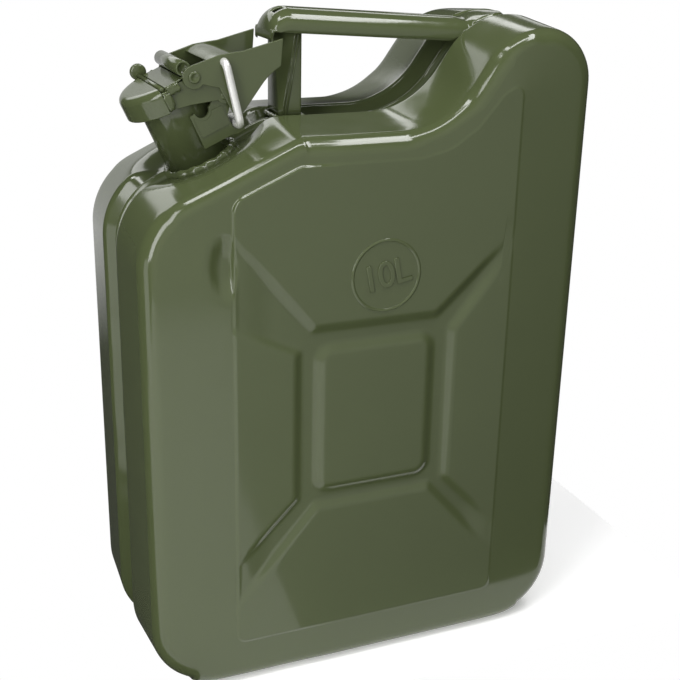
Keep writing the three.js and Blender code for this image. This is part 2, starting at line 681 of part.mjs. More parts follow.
// Folded post under the front of the bar, standing on the seam bead, with its weld.
const postFoot = VALLEY_Z - BEAD_TOP + GAP;
addMesh(can, 'handle_post', box(
  [POST_FRONT, -POST_HALF, postFoot],
  [POST_BACK, POST_HALF, POST_TOP],
), PAINT);
const postWeld = box(
  [POST_FRONT - 1.6, -POST_HALF - 1.1, postFoot + 0.3],
  [POST_BACK + 1.6, POST_HALF + 1.1, postFoot + 2.3],
).subtract(box(
  [POST_FRONT - GAP, -POST_HALF - GAP, 300],
  [POST_BACK + GAP, POST_HALF + GAP, 400],
));
addMesh(can, 'post_weld', postWeld, PAINT);

export default can;
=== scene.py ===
import math

import bmesh
import bpy
import numpy as np
from bpy.props import FloatProperty, FloatVectorProperty, PointerProperty
from mathutils import Matrix, Vector, noise


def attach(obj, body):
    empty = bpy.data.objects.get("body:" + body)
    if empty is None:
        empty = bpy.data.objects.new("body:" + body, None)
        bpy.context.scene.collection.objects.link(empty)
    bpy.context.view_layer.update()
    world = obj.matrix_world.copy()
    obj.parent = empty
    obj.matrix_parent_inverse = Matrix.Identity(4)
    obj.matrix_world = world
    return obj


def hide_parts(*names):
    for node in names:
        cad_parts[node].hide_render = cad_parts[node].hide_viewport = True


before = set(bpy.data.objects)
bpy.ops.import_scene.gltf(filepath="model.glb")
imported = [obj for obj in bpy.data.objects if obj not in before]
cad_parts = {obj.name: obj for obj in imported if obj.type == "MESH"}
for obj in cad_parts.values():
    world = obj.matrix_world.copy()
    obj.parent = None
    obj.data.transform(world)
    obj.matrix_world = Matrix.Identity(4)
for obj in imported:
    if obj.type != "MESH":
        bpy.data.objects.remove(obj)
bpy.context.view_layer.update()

bl_info = {
    "name": "Jerry Can Dressing",
    "version": (1, 0, 0),
    "blender": (4, 5, 0),
    "location": "View3D > Sidebar > Jerry Can",
    "description": "Fine surfaces, finishes and a studio for a ten litre pressed steel jerry can",
    "category": "Object",
}

MM = 0.001

# Pressed halves, in millimetres: the widest outline as corners of x, z and radius
HALF_WIDTH = 135.0
SLOPE_DEG = 24.4
SLOPE_COS = math.cos(math.radians(SLOPE_DEG))
SLOPE_SIN = math.sin(math.radians(SLOPE_DEG))
SLOPE = math.tan(math.radians(SLOPE_DEG))
NECK_X = -84.7
NECK_Z = 313.3
VALLEY_Z = 331.0
VALLEY_END_X = 40.7
REAR_Z = 383.0
SHOULDER_Z = NECK_Z - SLOPE * (NECK_X + HALF_WIDTH)
ROOF_X = NECK_X + (VALLEY_Z - NECK_Z) / SLOPE
OUTLINE = [
    (-HALF_WIDTH, 0, 40), (HALF_WIDTH, 0, 40), (HALF_WIDTH, REAR_Z, 33), (77, REAR_Z, 42),
    (VALLEY_END_X, VALLEY_Z, 52), (ROOF_X, VALLEY_Z, 20), (-HALF_WIDTH, SHOULDER_Z, 44),
]
OUTLINE_ANCHORS = [
    (-HALF_WIDTH, 0), (HALF_WIDTH, 0), (70, 375), (VALLEY_END_X, VALLEY_Z), (ROOF_X, VALLEY_Z), (-103, 305),
]
OUTLINE_ARC_STEPS = 24
LINE_SPACING = 0.7
SHEET = 0.9

# Wall of a half, from the seam over the recess and its ridge to the edge of the face
RECESS_INSET = 7.0
RECESS_V = 8.6
RECESS_RADIUS = 2.6
SEAM_GAP = 0.15
RIDGE_V = 14.6
RIDGE_OUT = 0.5
RIDGE_RADIUS = 4.5
RIPPLE_HEIGHT = 0.77
RIPPLE_V = (6.0, 12.0, 26.0)
RIPPLE_PITCH = 0.045
RIPPLE_SEED = 3.1
SEAT_RADII = (22.0, 45.0)
NECK_HOLE = 18.4
HOLE_REACH = 25.0
EDGE_RADIUS = 10.5
SLOPE_EDGE_RADIUS = 8.0
SLOPE_MATCH = (0.93, 0.985)
SIDE_DRAFT_DEG = 2.5
TOP_DRAFT_DEG = 4.5
FOOT_FACING = -0.9
PROBE_INSETS = (6.0, 12.0)
FACE_RUN = 14.0
WALL_STEPS = 10
WALL_ARC_STEPS = 9
CORNER_ROUNDS = 4

# Pressed panel: its crease, then the frame of channels round the pad as half width, low, high and radius
PANEL_V = 67.0
CREASE_X = 84.0
CREASE_LOW = 30.0
CREASE_TOP = 313.5
CREASE_BEND_X = -47.0
CREASE = [
    (-CREASE_X, CREASE_LOW, 5), (CREASE_X, CREASE_LOW, 5), (CREASE_X, 352, 4), (73, 346, 6),
    (58, 328.5, 20), (42, 317.5, 26), (24, CREASE_TOP, 24), (CREASE_BEND_X, CREASE_TOP, 6),
    (-CREASE_X, 297.5, 9),
]
CREASE_ANCHORS = [
    (-CREASE_X, CREASE_LOW), (CREASE_X, CREASE_LOW), (80, 350.5), (34, 315), (CREASE_BEND_X, CREASE_TOP),
    (-82.5, 299),
]
CREASE_ARC_STEPS = 6
CREASE_STEP = 0.8
CREASE_ROUND = (-0.5, 1.3)
STEP_LEAST = 0.25
STEP_FADE_X = (-50.0, -20.0)
CREASE_LIP = 0.9
LIP_FADE_Z = (245.0, 285.0)
MARGIN_SLOPE = 0.085
PAD = (35.0, 122.0, 210.0, 8.0)
PAD_WALL = (-3.4, 3.2)
FRAME_OUT = (48.0, 112.0, 222.5, 5.0)
FRAME_WALL = (-3.2, 2.4)
CHANNEL_DEPTH = 2.3
ARMS = [
    [(-25, 206.4), (-CREASE_X, 276.6), (-CREASE_X, 227.6), (-36, 203)],
    [(25, 211), (40, 202.6), (CREASE_X, 256.6), (CREASE_X, 265)],
    [(-28, 121), (-36, 130), (-CREASE_X, 82), (-CREASE_X, 56)],
    [(28, 122.7), (CREASE_X, 58), (CREASE_X, 78), (36, 128.6)],
]
ARM_WALL = (-3.0, 2.6)
ARM_FADE = 0.60
REAR_ARM_FADE = 0.25
REAR_ARM_X = (-20.0, 20.0)
ARM_FADE_RUN = (-22.0, -2.0)
HOLLOW_AT = (-89.0, 262.0)
HOLLOW_HALF = (8.0, 18.0)
HOLLOW_DEPTH = 3.2
HOLLOW_WALL = (0.30, 1.15)

# Mesh of the face: loops across the margin and the crease, then a grid
BRIM = 2.4
BRIM_LEAST = 0.2
BRIM_CLEAR = 1.0
BANK = 1.4
MARGIN_LOOPS = 11
CREASE_LOOPS = 8
BANK_LOOPS = 4
LIFT_FADE_POWER = 3
GRID_X = 78.0
GRID_Z = (36.0, 292.0)
GRID_COLUMNS = 84
GRID_ROWS = 136
REAR_COLUMNS = 24
VALLEY_COLUMNS = 43
SLOPE_COLUMNS = GRID_COLUMNS - REAR_COLUMNS - VALLEY_COLUMNS
SIDE_COUNTS = [GRID_COLUMNS, GRID_ROWS, REAR_COLUMNS, VALLEY_COLUMNS, SLOPE_COLUMNS, GRID_ROWS]

# Half of the seam bead's section as inset and half width, then its unevenness
SEAM_SECTION = [(7.3, 2.6), (6.0, 2.5), (4.9, 1.9), (4.2, 1.2), (3.5, 0.9), (3.15, 0.0)]
SEAM_ROOT = 6.0
SEAM_LUMP = 0.35
SEAM_LUMP_PITCH = 0.16
SEAM_DRIFT = 0.5
SEAM_DRIFT_PITCH = 0.05
SEAM_DRIFT_SEED = 8.0

# Neck and closure, in the frame of the neck: u rearwards, s along its axis
NECK_RADIUS = 19.0
NECK_BORE = 17.8
NECK_FOOT = -15.0
NECK_TOP = 34.5
LIP_RADIUS = 1.5
BEAD_RADIUS = 2.3
BEAD_RING = 19.9
BEAD_RISE = 0.8
BEAD_HEIGHT = 1.15
BEAD_WANDER = 0.5
BEAD_LUMP = 0.9
BEAD_LUMP_PITCH = 4.2
BEAD_LUMP_SEED = 0.5
BEAD_GRAIN = 0.35
BEAD_GRAIN_PITCH = 13.0
BEAD_GRAIN_SEED = 4.5
VENT_U = 12.0
VENT_RADIUS = 4.0
HINGE = (22.5, 24.5)
HINGE_RADIUS = 2.0
HINGE_HALF = 23.0
PIVOT = (11.5, 41.3)
PIVOT_RADIUS = 2.5
PIVOT_HALF = 25.0
RIVET_HEAD = [(24.7, 3.3), (25.3, 3.2), (25.7, 2.6), (25.6, 1.9), (25.1, 1.5)]
BAIL_TOP = (29.5, 41.5)
BAIL_FOOT = (22.8, 7.5)
BAIL_LEG_Y = 28.2
BAIL_BEND = 4.5
BAIL_END = 2.4
LEVER_IN = 23.1
LEVER_SHEET = 1.5
LEVER_EAR = 6.2
BRACKET_IN = 19.3
BRACKET_SHEET = 1.6
FLANGE_IN = BRACKET_IN + 0.4
FLANGE_SHEET = 1.7
HOOK_RADIUS = 2.65
LOCK_AT = (-6.5, 42.8)
LOCK_RADIUS = 1.3
LOCK_ENDS = (-22.6, 30.0)
KNOB_AT = (LOCK_AT[0] + 0.9, LOCK_AT[1] + 1.8)
KNOB_RINGS = [(27.6, 3.2), (27.9, 4.1), (28.6, 4.6), (30.4, 4.6), (31.1, 4.1), (31.4, 3.0)]
CURL_AT = (8.6, 47.5)
CURL_BORE = 3.0
CURL_END = [(22.1, 4.0), (22.4, 3.8), (22.2, CURL_BORE), (20.6, CURL_BORE)]
CAP_TOP = 43.5
CAP_SKIRT = 30.0
CAP_RADIUS = 26.5
CAP_EDGE = 4.0
CAP_HEM = 0.7
CAP_SHEET = 1.6
CHEEK_SHEET = 1.3
CAP_BACK_HALF = 22.6
CAP_GROOVE = (-8.2, -4.9)
TROUGH_HALF = 24.4
TROUGH_LAP = 0.8
TROUGH_SUNK = (3.2, 2.1)
SEAL_RING = [(14.5, 35.1), (15.2, 34.9), (19.3, 34.9), (20, 35.3), (20, 36.8), (19.6, 37.2), (14.9, 37.2)]
SEAL_PLATE = [(0.01, 37.5), (20.1, 37.5), (20.4, 37.8), (20.1, 38.3), (0.01, 38.3)]

# Folds at the cap's corners as place, sizes, roughness and seed, then how their skin is made
CAP_FOLDS = [
    ((-6.2, 23.2, 36.0), (2.6, 1.9, 5.0), 0.35, 1.0),
    ((-1.2, 22.6, 40.6), (3.8, 1.7, 2.6), 0.45, 5.0),
]
CRUMPLE_PITCH = 2.3
CRUMPLE_BOXY = 0.6
CRUMPLE_POLE_DEG = 89

# Carrying handle
BAR_FRONT = -43.0
BAR_BACK = 86.0
BAR_CROWN = (388.0, 378.8)
BAR_HALF = 13.0
BAR_HEIGHT = 11.5
BAR_BULGE = 9.0
BAR_SHEET = 1.6
BAR_STEPS = 24
BAR_STOPS = 18
BAR_FINE_FROM = 43.0
BAR_FINE_STOPS = 24
BAR_ROUND = (0.85, 0.8)
BAR_SKIRT = (0.6, 8.0)
SKIRT_EDGE = 0.05
HUMP_FROM_X = 20.0
HUMP_CLEAR = 0.5
RIDGE_TOP_X = (-50.0, 128.0)
RIDGE_TOP_Z = 325.0
NOSE_RADIUS = 11.0
NOSE_Z = (372.1, 376.4)
NOSE_LEVELS = 4
SLOT_X = (-39.5, -34.0)
SLOT_Y = (-5.5, -0.5)
TONGUE_FROM = (72.0, 88.0)
TONGUE_TO = 103.0
TONGUE_HALF = 11.0
TONGUE_THICK = 0.5
TONGUE_FLAT = 0.6
TONGUE_TIP = 0.04
TONGUE_SUNK = 0.9
TONGUE_BULGE = 0.4
POST_X = (-38.5, -25.0)
POST_HALF = 10.2
POST_Z = (VALLEY_Z - 2.9, 379.0)
POST_CUT = (1.2, 9.8)
CUT_RADIUS = 0.5
POST_RADIUS = 1.6
POST_LEVELS = 9
FOLD_SHIFTS = (0.3, 2.2)
FOLD_RADIUS = 0.55
FOLD_OUT = 0.1
FOLD_SHORT = 4.0
WELD_RADIUS = 1.5
WELD_RISE = 1.0
WELD_GAP = (1.3, 1.1)
WELD_CORNER = 3.0
WELD_SPACING = 1.2
WELD_SIDES = 10
WELD_LUMP = 0.5
WELD_PITCH = 0.3
WELD_SEED = 2.0

# Raised ring and figure on the near panel
MARK_AT = (4.2, 249.2)
MARK_RADIUS = 20.4
MARK_HALF = 1.2
MARK_RISE = 0.7
MARK_SUNK = 0.2
FIGURE_SIZE = 21.5
FIGURE_RISE = 0.4
FIGURE_ROUND = 0.35
FIGURE_SPACING = 0.92
FIGURE_TURN = math.radians(11)

# Values that are no size of the can
FAR_AWAY = 1e9
TINY = 1e-6
BEVEL_STEPS = 3


# Small tools for outlines and meshes

def fillet(points, steps=8, closed=True):
    """Corner points of x, z and radius as a smooth line of (x, z)."""
    out = []
    count = len(points)
    for i, (x, z, radius) in enumerate(points):
        here = Vector((x, z))
        if radius <= 0 or (not closed and i in (0, count - 1)):
            out.append(here)
            continue
        before = (Vector(points[i - 1][:2]) - here).normalized()
        after = (Vector(points[(i + 1) % count][:2]) - here).normalized()
        half = before.angle(after) / 2
        reach = radius / math.tan(half)
        centre = here + (before + after).normalized() * radius / math.sin(half)
        start = here + before * reach - centre
        end = here + after * reach - centre
        turn = start.angle_signed(end)
        for k in range(steps + 1):
            spin = Matrix.Rotation(-turn * k / steps, 2)
            out.append(centre + spin @ start)
    return [(p.x, p.y) for p in out]


def arc(cx, cz, radius, start_deg, end_deg, steps=10):
    """Points along part of a circle."""
    turns = [math.radians(start_deg + (end_deg - start_deg) * k / steps) for k in range(steps + 1)]
    return [(cx + radius * math.cos(t), cz + radius * math.sin(t)) for t in turns]


def full_turn(count):
    """Angles of evenly spread points round a circle."""
    return [2 * math.pi * k / count for k in range(count)]


def curve(a, control, b, steps=8):
    """A quadratic curve from a to b, without its first point."""
    out = []
    for k in range(1, steps + 1):
        t = k / steps
        out.append(tuple((1 - t) ** 2 * p + 2 * t * (1 - t) * q + t * t * r
                         for p, q, r in zip(a, control, b)))
    return out


def both_sides(inner, sheet):
    """Low and high y of a sheet on the near side, then of its twin on the far side."""
    return (-inner - sheet, -inner), (inner, inner + sheet)


def smooth_step(low, high, value):
    t = np.clip((value - low) / (high - low), 0.0, 1.0)
    return t * t * (3 - 2 * t)


def uneven(x, y, pitch, seed):
    """Smooth unevenness between about -1 and 1 that depends only on the place."""
    return noise.noise(Vector((x * pitch, y * pitch, seed)))


def neck_point(u, y, s):
    """A point of the neck's frame in the can's frame."""
    return (NECK_X + u * SLOPE_COS - s * SLOPE_SIN, y, NECK_Z + u * SLOPE_SIN + s * SLOPE_COS)


def neck_place(x, z):
    """Distance behind the neck's axis and along it, for a point of the can's frame."""
    u = (x - NECK_X) * SLOPE_COS + (z - NECK_Z) * SLOPE_SIN
    s = (z - NECK_Z) * SLOPE_COS - (x - NECK_X) * SLOPE_SIN
    return u, s


class Body:
    """Vertices and faces of one piece, gathered part by part in millimetres."""

    def __init__(self, place=None):
        self.points = []
        self.faces = []
        self.place = place or (lambda x, y, z: (x, y, z))

    def put(self, x, y, z):
        self.points.append(self.place(x, y, z))
        return len(self.points) - 1

    def rows(self, rows, wrap=True, caps=True):
        """Joins rows of vertices into a skin, with its two ends closed where caps is set."""
        for a, b in zip(rows, rows[1:]):
            last = len(a) if wrap else len(a) - 1
            for i in range(last):
                j = (i + 1) % len(a)
                self.faces.append((a[i], a[j], b[j], b[i]))
        if caps:
            self.faces.append(tuple(reversed(rows[0])))
            self.faces.append(tuple(rows[-1]))
        return self

    def loop(self, rows):
        """Joins rows of vertices into a ring that closes on itself."""
        return self.rows(rows + [rows[0]], caps=False)

    def prism(self, outline, y_low, y_high):
        """A flat outline of (x, z) with thickness along Y."""
        rows = [[self.put(x, y, z) for x, z in outline] for y in (y_low, y_high)]
        return self.rows(rows)

    def lathe(self, profile, segments=56):
        """A closed profile of (radius, s) turned about the local Z axis."""
        turns = full_turn(segments)
        rows = [[self.put(r * math.cos(t), r * math.sin(t), s) for t in turns] for r, s in profile]
        return self.loop(rows)

    def turned(self, at, rings, segments=32):
        """Rings of (y, radius) about a line along Y, closed at both ends."""
        turns = full_turn(segments)
        rows = []
        for y, r in rings:
            rows.append([self.put(at[0] + r * math.cos(t), y, at[1] + r * math.sin(t)) for t in turns])
        return self.rows(rows)

    def rod(self, at, radius, y_low, y_high, bevel=0.4):
        """A round bar along Y with softened ends."""
        thin = radius - bevel
        rings = [(y_low, thin), (y_low + bevel, radius), (y_high - bevel, radius), (y_high, thin)]
        return self.turned(at, rings)

    def tube(self, path, radius, sides=16):
        """A round wire along a path, carried along without twist."""
        line = [Vector(p) for p in path]
        across = (line[1] - line[0]).normalized().orthogonal().normalized()
        turns = full_turn(sides)
        rows = []
        for i, p in enumerate(line):
            heading = (line[min(i + 1, len(line) - 1)] - line[max(i - 1, 0)]).normalized()
            across = (across - heading * across.dot(heading)).normalized()
            side = heading.cross(across)
            spokes = [across * math.cos(t) + side * math.sin(t) for t in turns]
            rows.append([self.put(*(p + radius * spoke)) for spoke in spokes])
        return self.rows(rows)

    def finish(self, name, finish, body, nodes, bevel=0.0, angle=35, thick=0.0, outward=True):
        """Makes the object, softens its edges, hangs it under its body's empty and hides the imported parts
        it stands for.
        """
        mesh = bpy.data.meshes.new(name)
        mesh.from_pydata([Vector(p) * MM for p in self.points], [], self.faces)
        work = bmesh.new()
        work.from_mesh(mesh)
        loose = [v for v in work.verts if not v.link_faces]
        bmesh.ops.delete(work, geom=loose, context="VERTS")
        if outward:
            bmesh.ops.recalc_face_normals(work, faces=work.faces)
        work.to_mesh(mesh)
        work.free()
        mesh.shade_smooth()
        piece = bpy.data.objects.new(name, mesh)
        bpy.context.scene.collection.objects.link(piece)
        mesh.materials.append(FINISHES[finish]())
        if thick:
            sheet = piece.modifiers.new("sheet", "SOLIDIFY")
            sheet.thickness = thick * MM
            sheet.offset = -1.0
        if bevel:
            soft = piece.modifiers.new("soft_edges", "BEVEL")
            soft.width = bevel * MM
            soft.segments = BEVEL_STEPS
            soft.limit_method = "ANGLE"
            soft.angle_limit = math.radians(angle)
            soft.harden_normals = True
        if bevel or thick:
            piece.modifiers.new("weighted", "WEIGHTED_NORMAL").keep_sharp = True
        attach(piece, body)
        if nodes:
            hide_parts(*nodes)
        return piece


# Finishes

CLOUD_SCALE = 14.0
SPECK_SCALE = 900.0
ROUGH_SCALE = 60.0
PEEL_SCALE = 420.0
SWELL_SCALE = 45.0


def settings():
    return bpy.context.scene.jerry_can


def node_group(name, inputs, outputs):
    """An empty shader group with named sockets, and its two end nodes."""
    group = bpy.data.node_groups.new(name, "ShaderNodeTree")
    kinds = {"value": "NodeSocketFloat", "colour": "NodeSocketColor"}
    for label, kind, default in inputs:
        socket = group.interface.new_socket(label, in_out="INPUT", socket_type=kinds[kind])
        socket.default_value = default
    for label, kind in outputs:
        group.interface.new_socket(label, in_out="OUTPUT", socket_type=kinds[kind])
    return group, group.nodes.new("NodeGroupInput"), group.nodes.new("NodeGroupOutput")


def feed(tree, socket, value):
    """Links another node's output to an input, or sets it to a plain value."""
    if isinstance(value, bpy.types.NodeSocket):
        tree.links.new(value, socket)
    else:
        socket.default_value = value


def add_noise(tree, scale, detail):
    """Noise over the piece's own coordinates."""
    grain = tree.nodes.new("ShaderNodeTexNoise")
    grain.inputs["Scale"].default_value = scale
    grain.inputs["Detail"].default_value = detail
    tree.links.new(tree.nodes.new("ShaderNodeTexCoord").outputs["Object"], grain.inputs["Vector"])
    return grain.outputs["Fac"]


def combine(tree, operation, *values):
    """The result of a math node."""
    node = tree.nodes.new("ShaderNodeMath")
    node.operation = operation
    for socket, value in zip(node.inputs, values):
        feed(tree, socket, value)
    return node.outputs[0]


def ranged(tree, value, low, high, from_low=0.3, from_high=0.7):
    """A value of one range brought into another."""
    node = tree.nodes.new("ShaderNodeMapRange")
    labels = ("Value", "From Min", "From Max", "To Min", "To Max")
    for label, given in zip(labels, (value, from_low, from_high, low, high)):
        feed(tree, node.inputs[label], given)
    return node.outputs["Result"]


def cloudy_tone():
    """Colour that drifts a little over the surface, with fine specks, and a roughness that drifts too."""
    name = "cloudy_tone"
    if name in bpy.data.node_groups:
        return bpy.data.node_groups[name]
    group, start, end = node_group(
        name,
        [("Colour", "colour", (0.1, 0.1, 0.1, 1)), ("Drift", "value", 0.06), ("Specks", "value", 0.04),
         ("Smoothest", "value", 0.1), ("Roughest", "value", 0.2)],
        [("Colour", "colour"), ("Roughness", "value")],
    )
    shades = []
    for amount, scale, detail in (("Drift", CLOUD_SCALE, 3.0), ("Specks", SPECK_SCALE, 2.0)):
        off_middle = combine(group, "SUBTRACT", add_noise(group, scale, detail), 0.5)
        shades.append(combine(group, "MULTIPLY_ADD", off_middle, start.outputs[amount], 1.0))
    tint = group.nodes.new("ShaderNodeVectorMath")
    tint.operation = "SCALE"
    feed(group, tint.inputs[0], start.outputs["Colour"])
    feed(group, tint.inputs["Scale"], combine(group, "MULTIPLY", *shades))
    feed(group, end.inputs["Colour"], tint.outputs["Vector"])
    rough = ranged(group, add_noise(group, ROUGH_SCALE, 4.0), start.outputs["Smoothest"],
                   start.outputs["Roughest"])
    feed(group, end.inputs["Roughness"], rough)
    return group


def surface_waves():
    """Height of the fine ripple that sprayed paint or drawn wire leaves."""
    name = "surface_waves"
    if name in bpy.data.node_groups:
        return bpy.data.node_groups[name]
    group, start, end = node_group(
        name, [("Peel", "value", 1.0), ("Swell", "value", 0.3)], [("Height", "value")])
    parts = []
    for amount, scale in (("Peel", PEEL_SCALE), ("Swell", SWELL_SCALE)):
        parts.append(combine(group, "MULTIPLY", add_noise(group, scale, 1.0), start.outputs[amount]))
    feed(group, end.inputs["Height"], combine(group, "ADD", *parts))
    return group


def finish_material(name, colour, depth, drift, specks, smoothest, roughest, peel, swell, metallic=0.0):
    """A Principled material with a drifting tone and a rippled surface of a depth in millimetres."""
    found = bpy.data.materials.get(name)
    if found:
        return found
    material = bpy.data.materials.new(name)
    material.use_nodes = True
    tree = material.node_tree
    shader = tree.nodes["Principled BSDF"]
    tone = tree.nodes.new("ShaderNodeGroup")
    tone.node_tree = cloudy_tone()
    tone.inputs["Colour"].default_value = (*colour, 1.0)
    tone.inputs["Drift"].default_value = drift
    tone.inputs["Specks"].default_value = specks
    tone.inputs["Smoothest"].default_value = smoothest
    tone.inputs["Roughest"].default_value = roughest
    waves = tree.nodes.new("ShaderNodeGroup")
    waves.node_tree = surface_waves()
    waves.inputs["Peel"].default_value = peel
    waves.inputs["Swell"].default_value = swell
    bump = tree.nodes.new("ShaderNodeBump")
    bump.inputs["Strength"].default_value = 1.0
    bump.inputs["Distance"].default_value = depth * MM
    feed(tree, bump.inputs["Height"], waves.outputs["Height"])
    feed(tree, shader.inputs["Base Color"], tone.outputs["Colour"])
    feed(tree, shader.inputs["Roughness"], tone.outputs["Roughness"])
    feed(tree, shader.inputs["Normal"], bump.outputs["Normal"])
    feed(tree, shader.inputs["Metallic"], metallic)
    return material


def olive_enamel():
    return finish_material("olive_enamel", settings().enamel, settings().paint_ripple, drift=0.10,
                           specks=0.05, smoothest=0.09, roughest=0.15, peel=0.5, swell=1.0)


def zinc_plate():
    return finish_material("bright_zinc", settings().zinc, 0.012, metallic=0.5, drift=0.12, specks=0.10,
                           smoothest=0.26, roughest=0.40, peel=1.0, swell=0.3)


def black_rubber():
    return finish_material("black_rubber", settings().rubber, 0.03, drift=0.2, specks=0.3,
                           smoothest=0.65, roughest=0.85, peel=1.0, swell=0.2)


FINISHES = {"enamel": olive_enamel, "zinc": zinc_plate, "rubber": black_rubber}


# Pressed halves

def resample(line, anchors, counts):
    """Points along a closed line, evenly spread between anchor points, with no point repeated."""
    pts = np.array(line + [line[0]], float)
    run = np.concatenate([[0], np.cumsum(np.hypot(*np.diff(pts, axis=0).T))])
    marks = []
    for x, z in anchors:
        marks.append(run[np.argmin(np.hypot(pts[:-1, 0] - x, pts[:-1, 1] - z))])
    stops = []
    for i, count in enumerate(counts):
        low, high = marks[i], marks[(i + 1) % len(marks)]
        if high <= low:
            high += run[-1]
        stops.extend(low + (high - low) * k / count for k in range(count))
    at = np.mod(np.array(stops), run[-1])
    return np.stack([np.interp(at, run, pts[:, 0]), np.interp(at, run, pts[:, 1])], 1)


def dense(line, spacing):
    """The same closed line with points on its straight runs."""
    out = []
    for (ax, az), (bx, bz) in zip(line, line[1:] + line[:1]):
        count = max(1, int(math.dist((ax, az), (bx, bz)) / spacing))
        out.extend((ax + (bx - ax) * k / count, az + (bz - az) * k / count) for k in range(count))
    return out


CREASE_LINE = fillet(CREASE, CREASE_ARC_STEPS)


def outward_normals(points):
    """Normals of a closed line that runs with its inside on the left."""
    along = np.roll(points, -1, 0) - np.roll(points, 1, 0)
    along /= np.linalg.norm(along, axis=1)[:, None]
    return np.stack([along[:, 1], -along[:, 0]], 1)


def can_outline():
    """Outline points and outward normals, in step with the grid's border."""
    line = dense(fillet(OUTLINE, OUTLINE_ARC_STEPS), LINE_SPACING)
    points = resample(line, OUTLINE_ANCHORS, SIDE_COUNTS)
    return points, outward_normals(points)


def outside_crease(x, z):
    """Distance outside the crease, negative inside."""
    p = np.stack([x, z], -1)
    best = np.full(x.shape, FAR_AWAY)
    inside = np.zeros(x.shape, bool)
    corners = np.array(CREASE_LINE)
    for a, b in zip(corners, np.roll(corners, -1, 0)):
        edge = b - a
        t = np.clip(((p - a) @ edge) / max(edge @ edge, TINY), 0, 1)
        best = np.minimum(best, np.linalg.norm(p - a - t[..., None] * edge, axis=-1))
        crosses = (a[1] > z) != (b[1] > z)
        with np.errstate(divide="ignore", invalid="ignore"):
            at = a[0] + (z - a[1]) * (b[0] - a[0]) / (b[1] - a[1])
        inside ^= crosses & (x < at)
    return np.where(inside, -best, best)


def outside_box(x, z, half, low, high, radius):
    """Distance outside a rectangle with rounded corners, negative inside."""
    qx = np.abs(x) - half + radius
    qz = np.abs(z - (low + high) / 2) - (high - low) / 2 + radius
    return np.hypot(np.maximum(qx, 0), np.maximum(qz, 0)) + np.minimum(np.maximum(qx, qz), 0) - radius


def outside_quad(x, z, corners):
    """Distance outside a convex outline, negative inside."""
    middle = np.mean(corners, axis=0)
    best = np.full(x.shape, -FAR_AWAY)
    for a, b in zip(corners, corners[1:] + corners[:1]):
        normal = np.array([b[1] - a[1], a[0] - b[0]])
        normal = normal / np.linalg.norm(normal)
        if normal @ (middle - a) > 0:
            normal = -normal
        best = np.maximum(best, (x - a[0]) * normal[0] + (z - a[1]) * normal[1])
    return best


def margin_fall(x, z, out):
    """How far the margin lies behind the panel at a distance outside the crease."""
    front = 1 - smooth_step(*STEP_FADE_X, x)
    step = CREASE_STEP * (STEP_LEAST + (1 - STEP_LEAST) * front)
    lip = CREASE_LIP * front * smooth_step(*LIP_FADE_Z, z)
    return step + lip + MARGIN_SLOPE * np.maximum(out, 0.0)


def face_height(x, z):
    """Distance of the pressed face from the seam plane."""
    out = outside_crease(x, z)
    v = PANEL_V - margin_fall(x, z, out) * smooth_step(*CREASE_ROUND, out)
    channel = 1 - smooth_step(*FRAME_WALL, outside_box(x, z, *FRAME_OUT))
    faded = (ARM_FADE + REAR_ARM_FADE * smooth_step(*REAR_ARM_X, x)) * smooth_step(*ARM_FADE_RUN, out)
    for corners in ARMS:
        arm = 1 - smooth_step(*ARM_WALL, outside_quad(x, z, corners))
        channel = np.maximum(channel, arm * (1 - faded))
    bowl = np.hypot((x - HOLLOW_AT[0]) / HOLLOW_HALF[0], (z - HOLLOW_AT[1]) / HOLLOW_HALF[1])
    hollow = HOLLOW_DEPTH * (1 - smooth_step(*HOLLOW_WALL, bowl))
    sunk = np.maximum(CHANNEL_DEPTH * channel, hollow)
    return v - sunk * smooth_step(*PAD_WALL, outside_box(x, z, *PAD))


def wall_lean(normal):
    """Draft of the wall: none under the can, and more on its top than on its sides."""
    if normal[1] < FOOT_FACING:
        return 0.0
    return math.radians(SIDE_DRAFT_DEG + (TOP_DRAFT_DEG - SIDE_DRAFT_DEG) * max(0.0, normal[1]))


def wall_radius(normal):
    """Radius of the edge of the face, tighter along the slope that carries the neck."""
    along_slope = normal[1] * SLOPE_COS - normal[0] * SLOPE_SIN
    tight = float(smooth_step(*SLOPE_MATCH, along_slope))
    return EDGE_RADIUS + (SLOPE_EDGE_RADIUS - EDGE_RADIUS) * tight


def wall_profile(level, slope, lean, radius):
    """Wall from the seam to the start of the face, as rounded corners of inset and depth."""
    corner_in = 0.0
    for _ in range(CORNER_ROUNDS):
        corner_v = level + slope * (corner_in - PROBE_INSETS[1])
        corner_in = math.tan(lean) * (corner_v - RIDGE_V)
    corner_v = level + slope * (corner_in - PROBE_INSETS[1])
    corners = [
        (RECESS_INSET, SEAM_GAP, 0), (RECESS_INSET, RECESS_V, RECESS_RADIUS),
        (-RIDGE_OUT, RIDGE_V, RIDGE_RADIUS), (corner_in, corner_v, radius),
        (corner_in + FACE_RUN, corner_v + slope * FACE_RUN, 0),
    ]
    line = fillet(corners, WALL_ARC_STEPS, closed=False)[:-1]
    gap = max(range(len(line) - 1), key=lambda k: line[k + 1][1] - line[k][1])
    start, end = np.array(line[gap]), np.array(line[gap + 1])
    wall = [tuple(start + (end - start) * k / WALL_STEPS) for k in range(1, WALL_STEPS)]
    return line[:gap + 1] + wall + line[gap + 1:]


def ripple(row, waves):
    """The hand of the press: a slight wave along the recess and its ridge."""
    rise, hold, end = RIPPLE_V
    v = row[:, 1]
    weight = np.clip((end - v) / (end - hold), 0, 1) * np.clip(v / rise, 0, 1)
    row[:, 1] += RIPPLE_HEIGHT * weight * waves


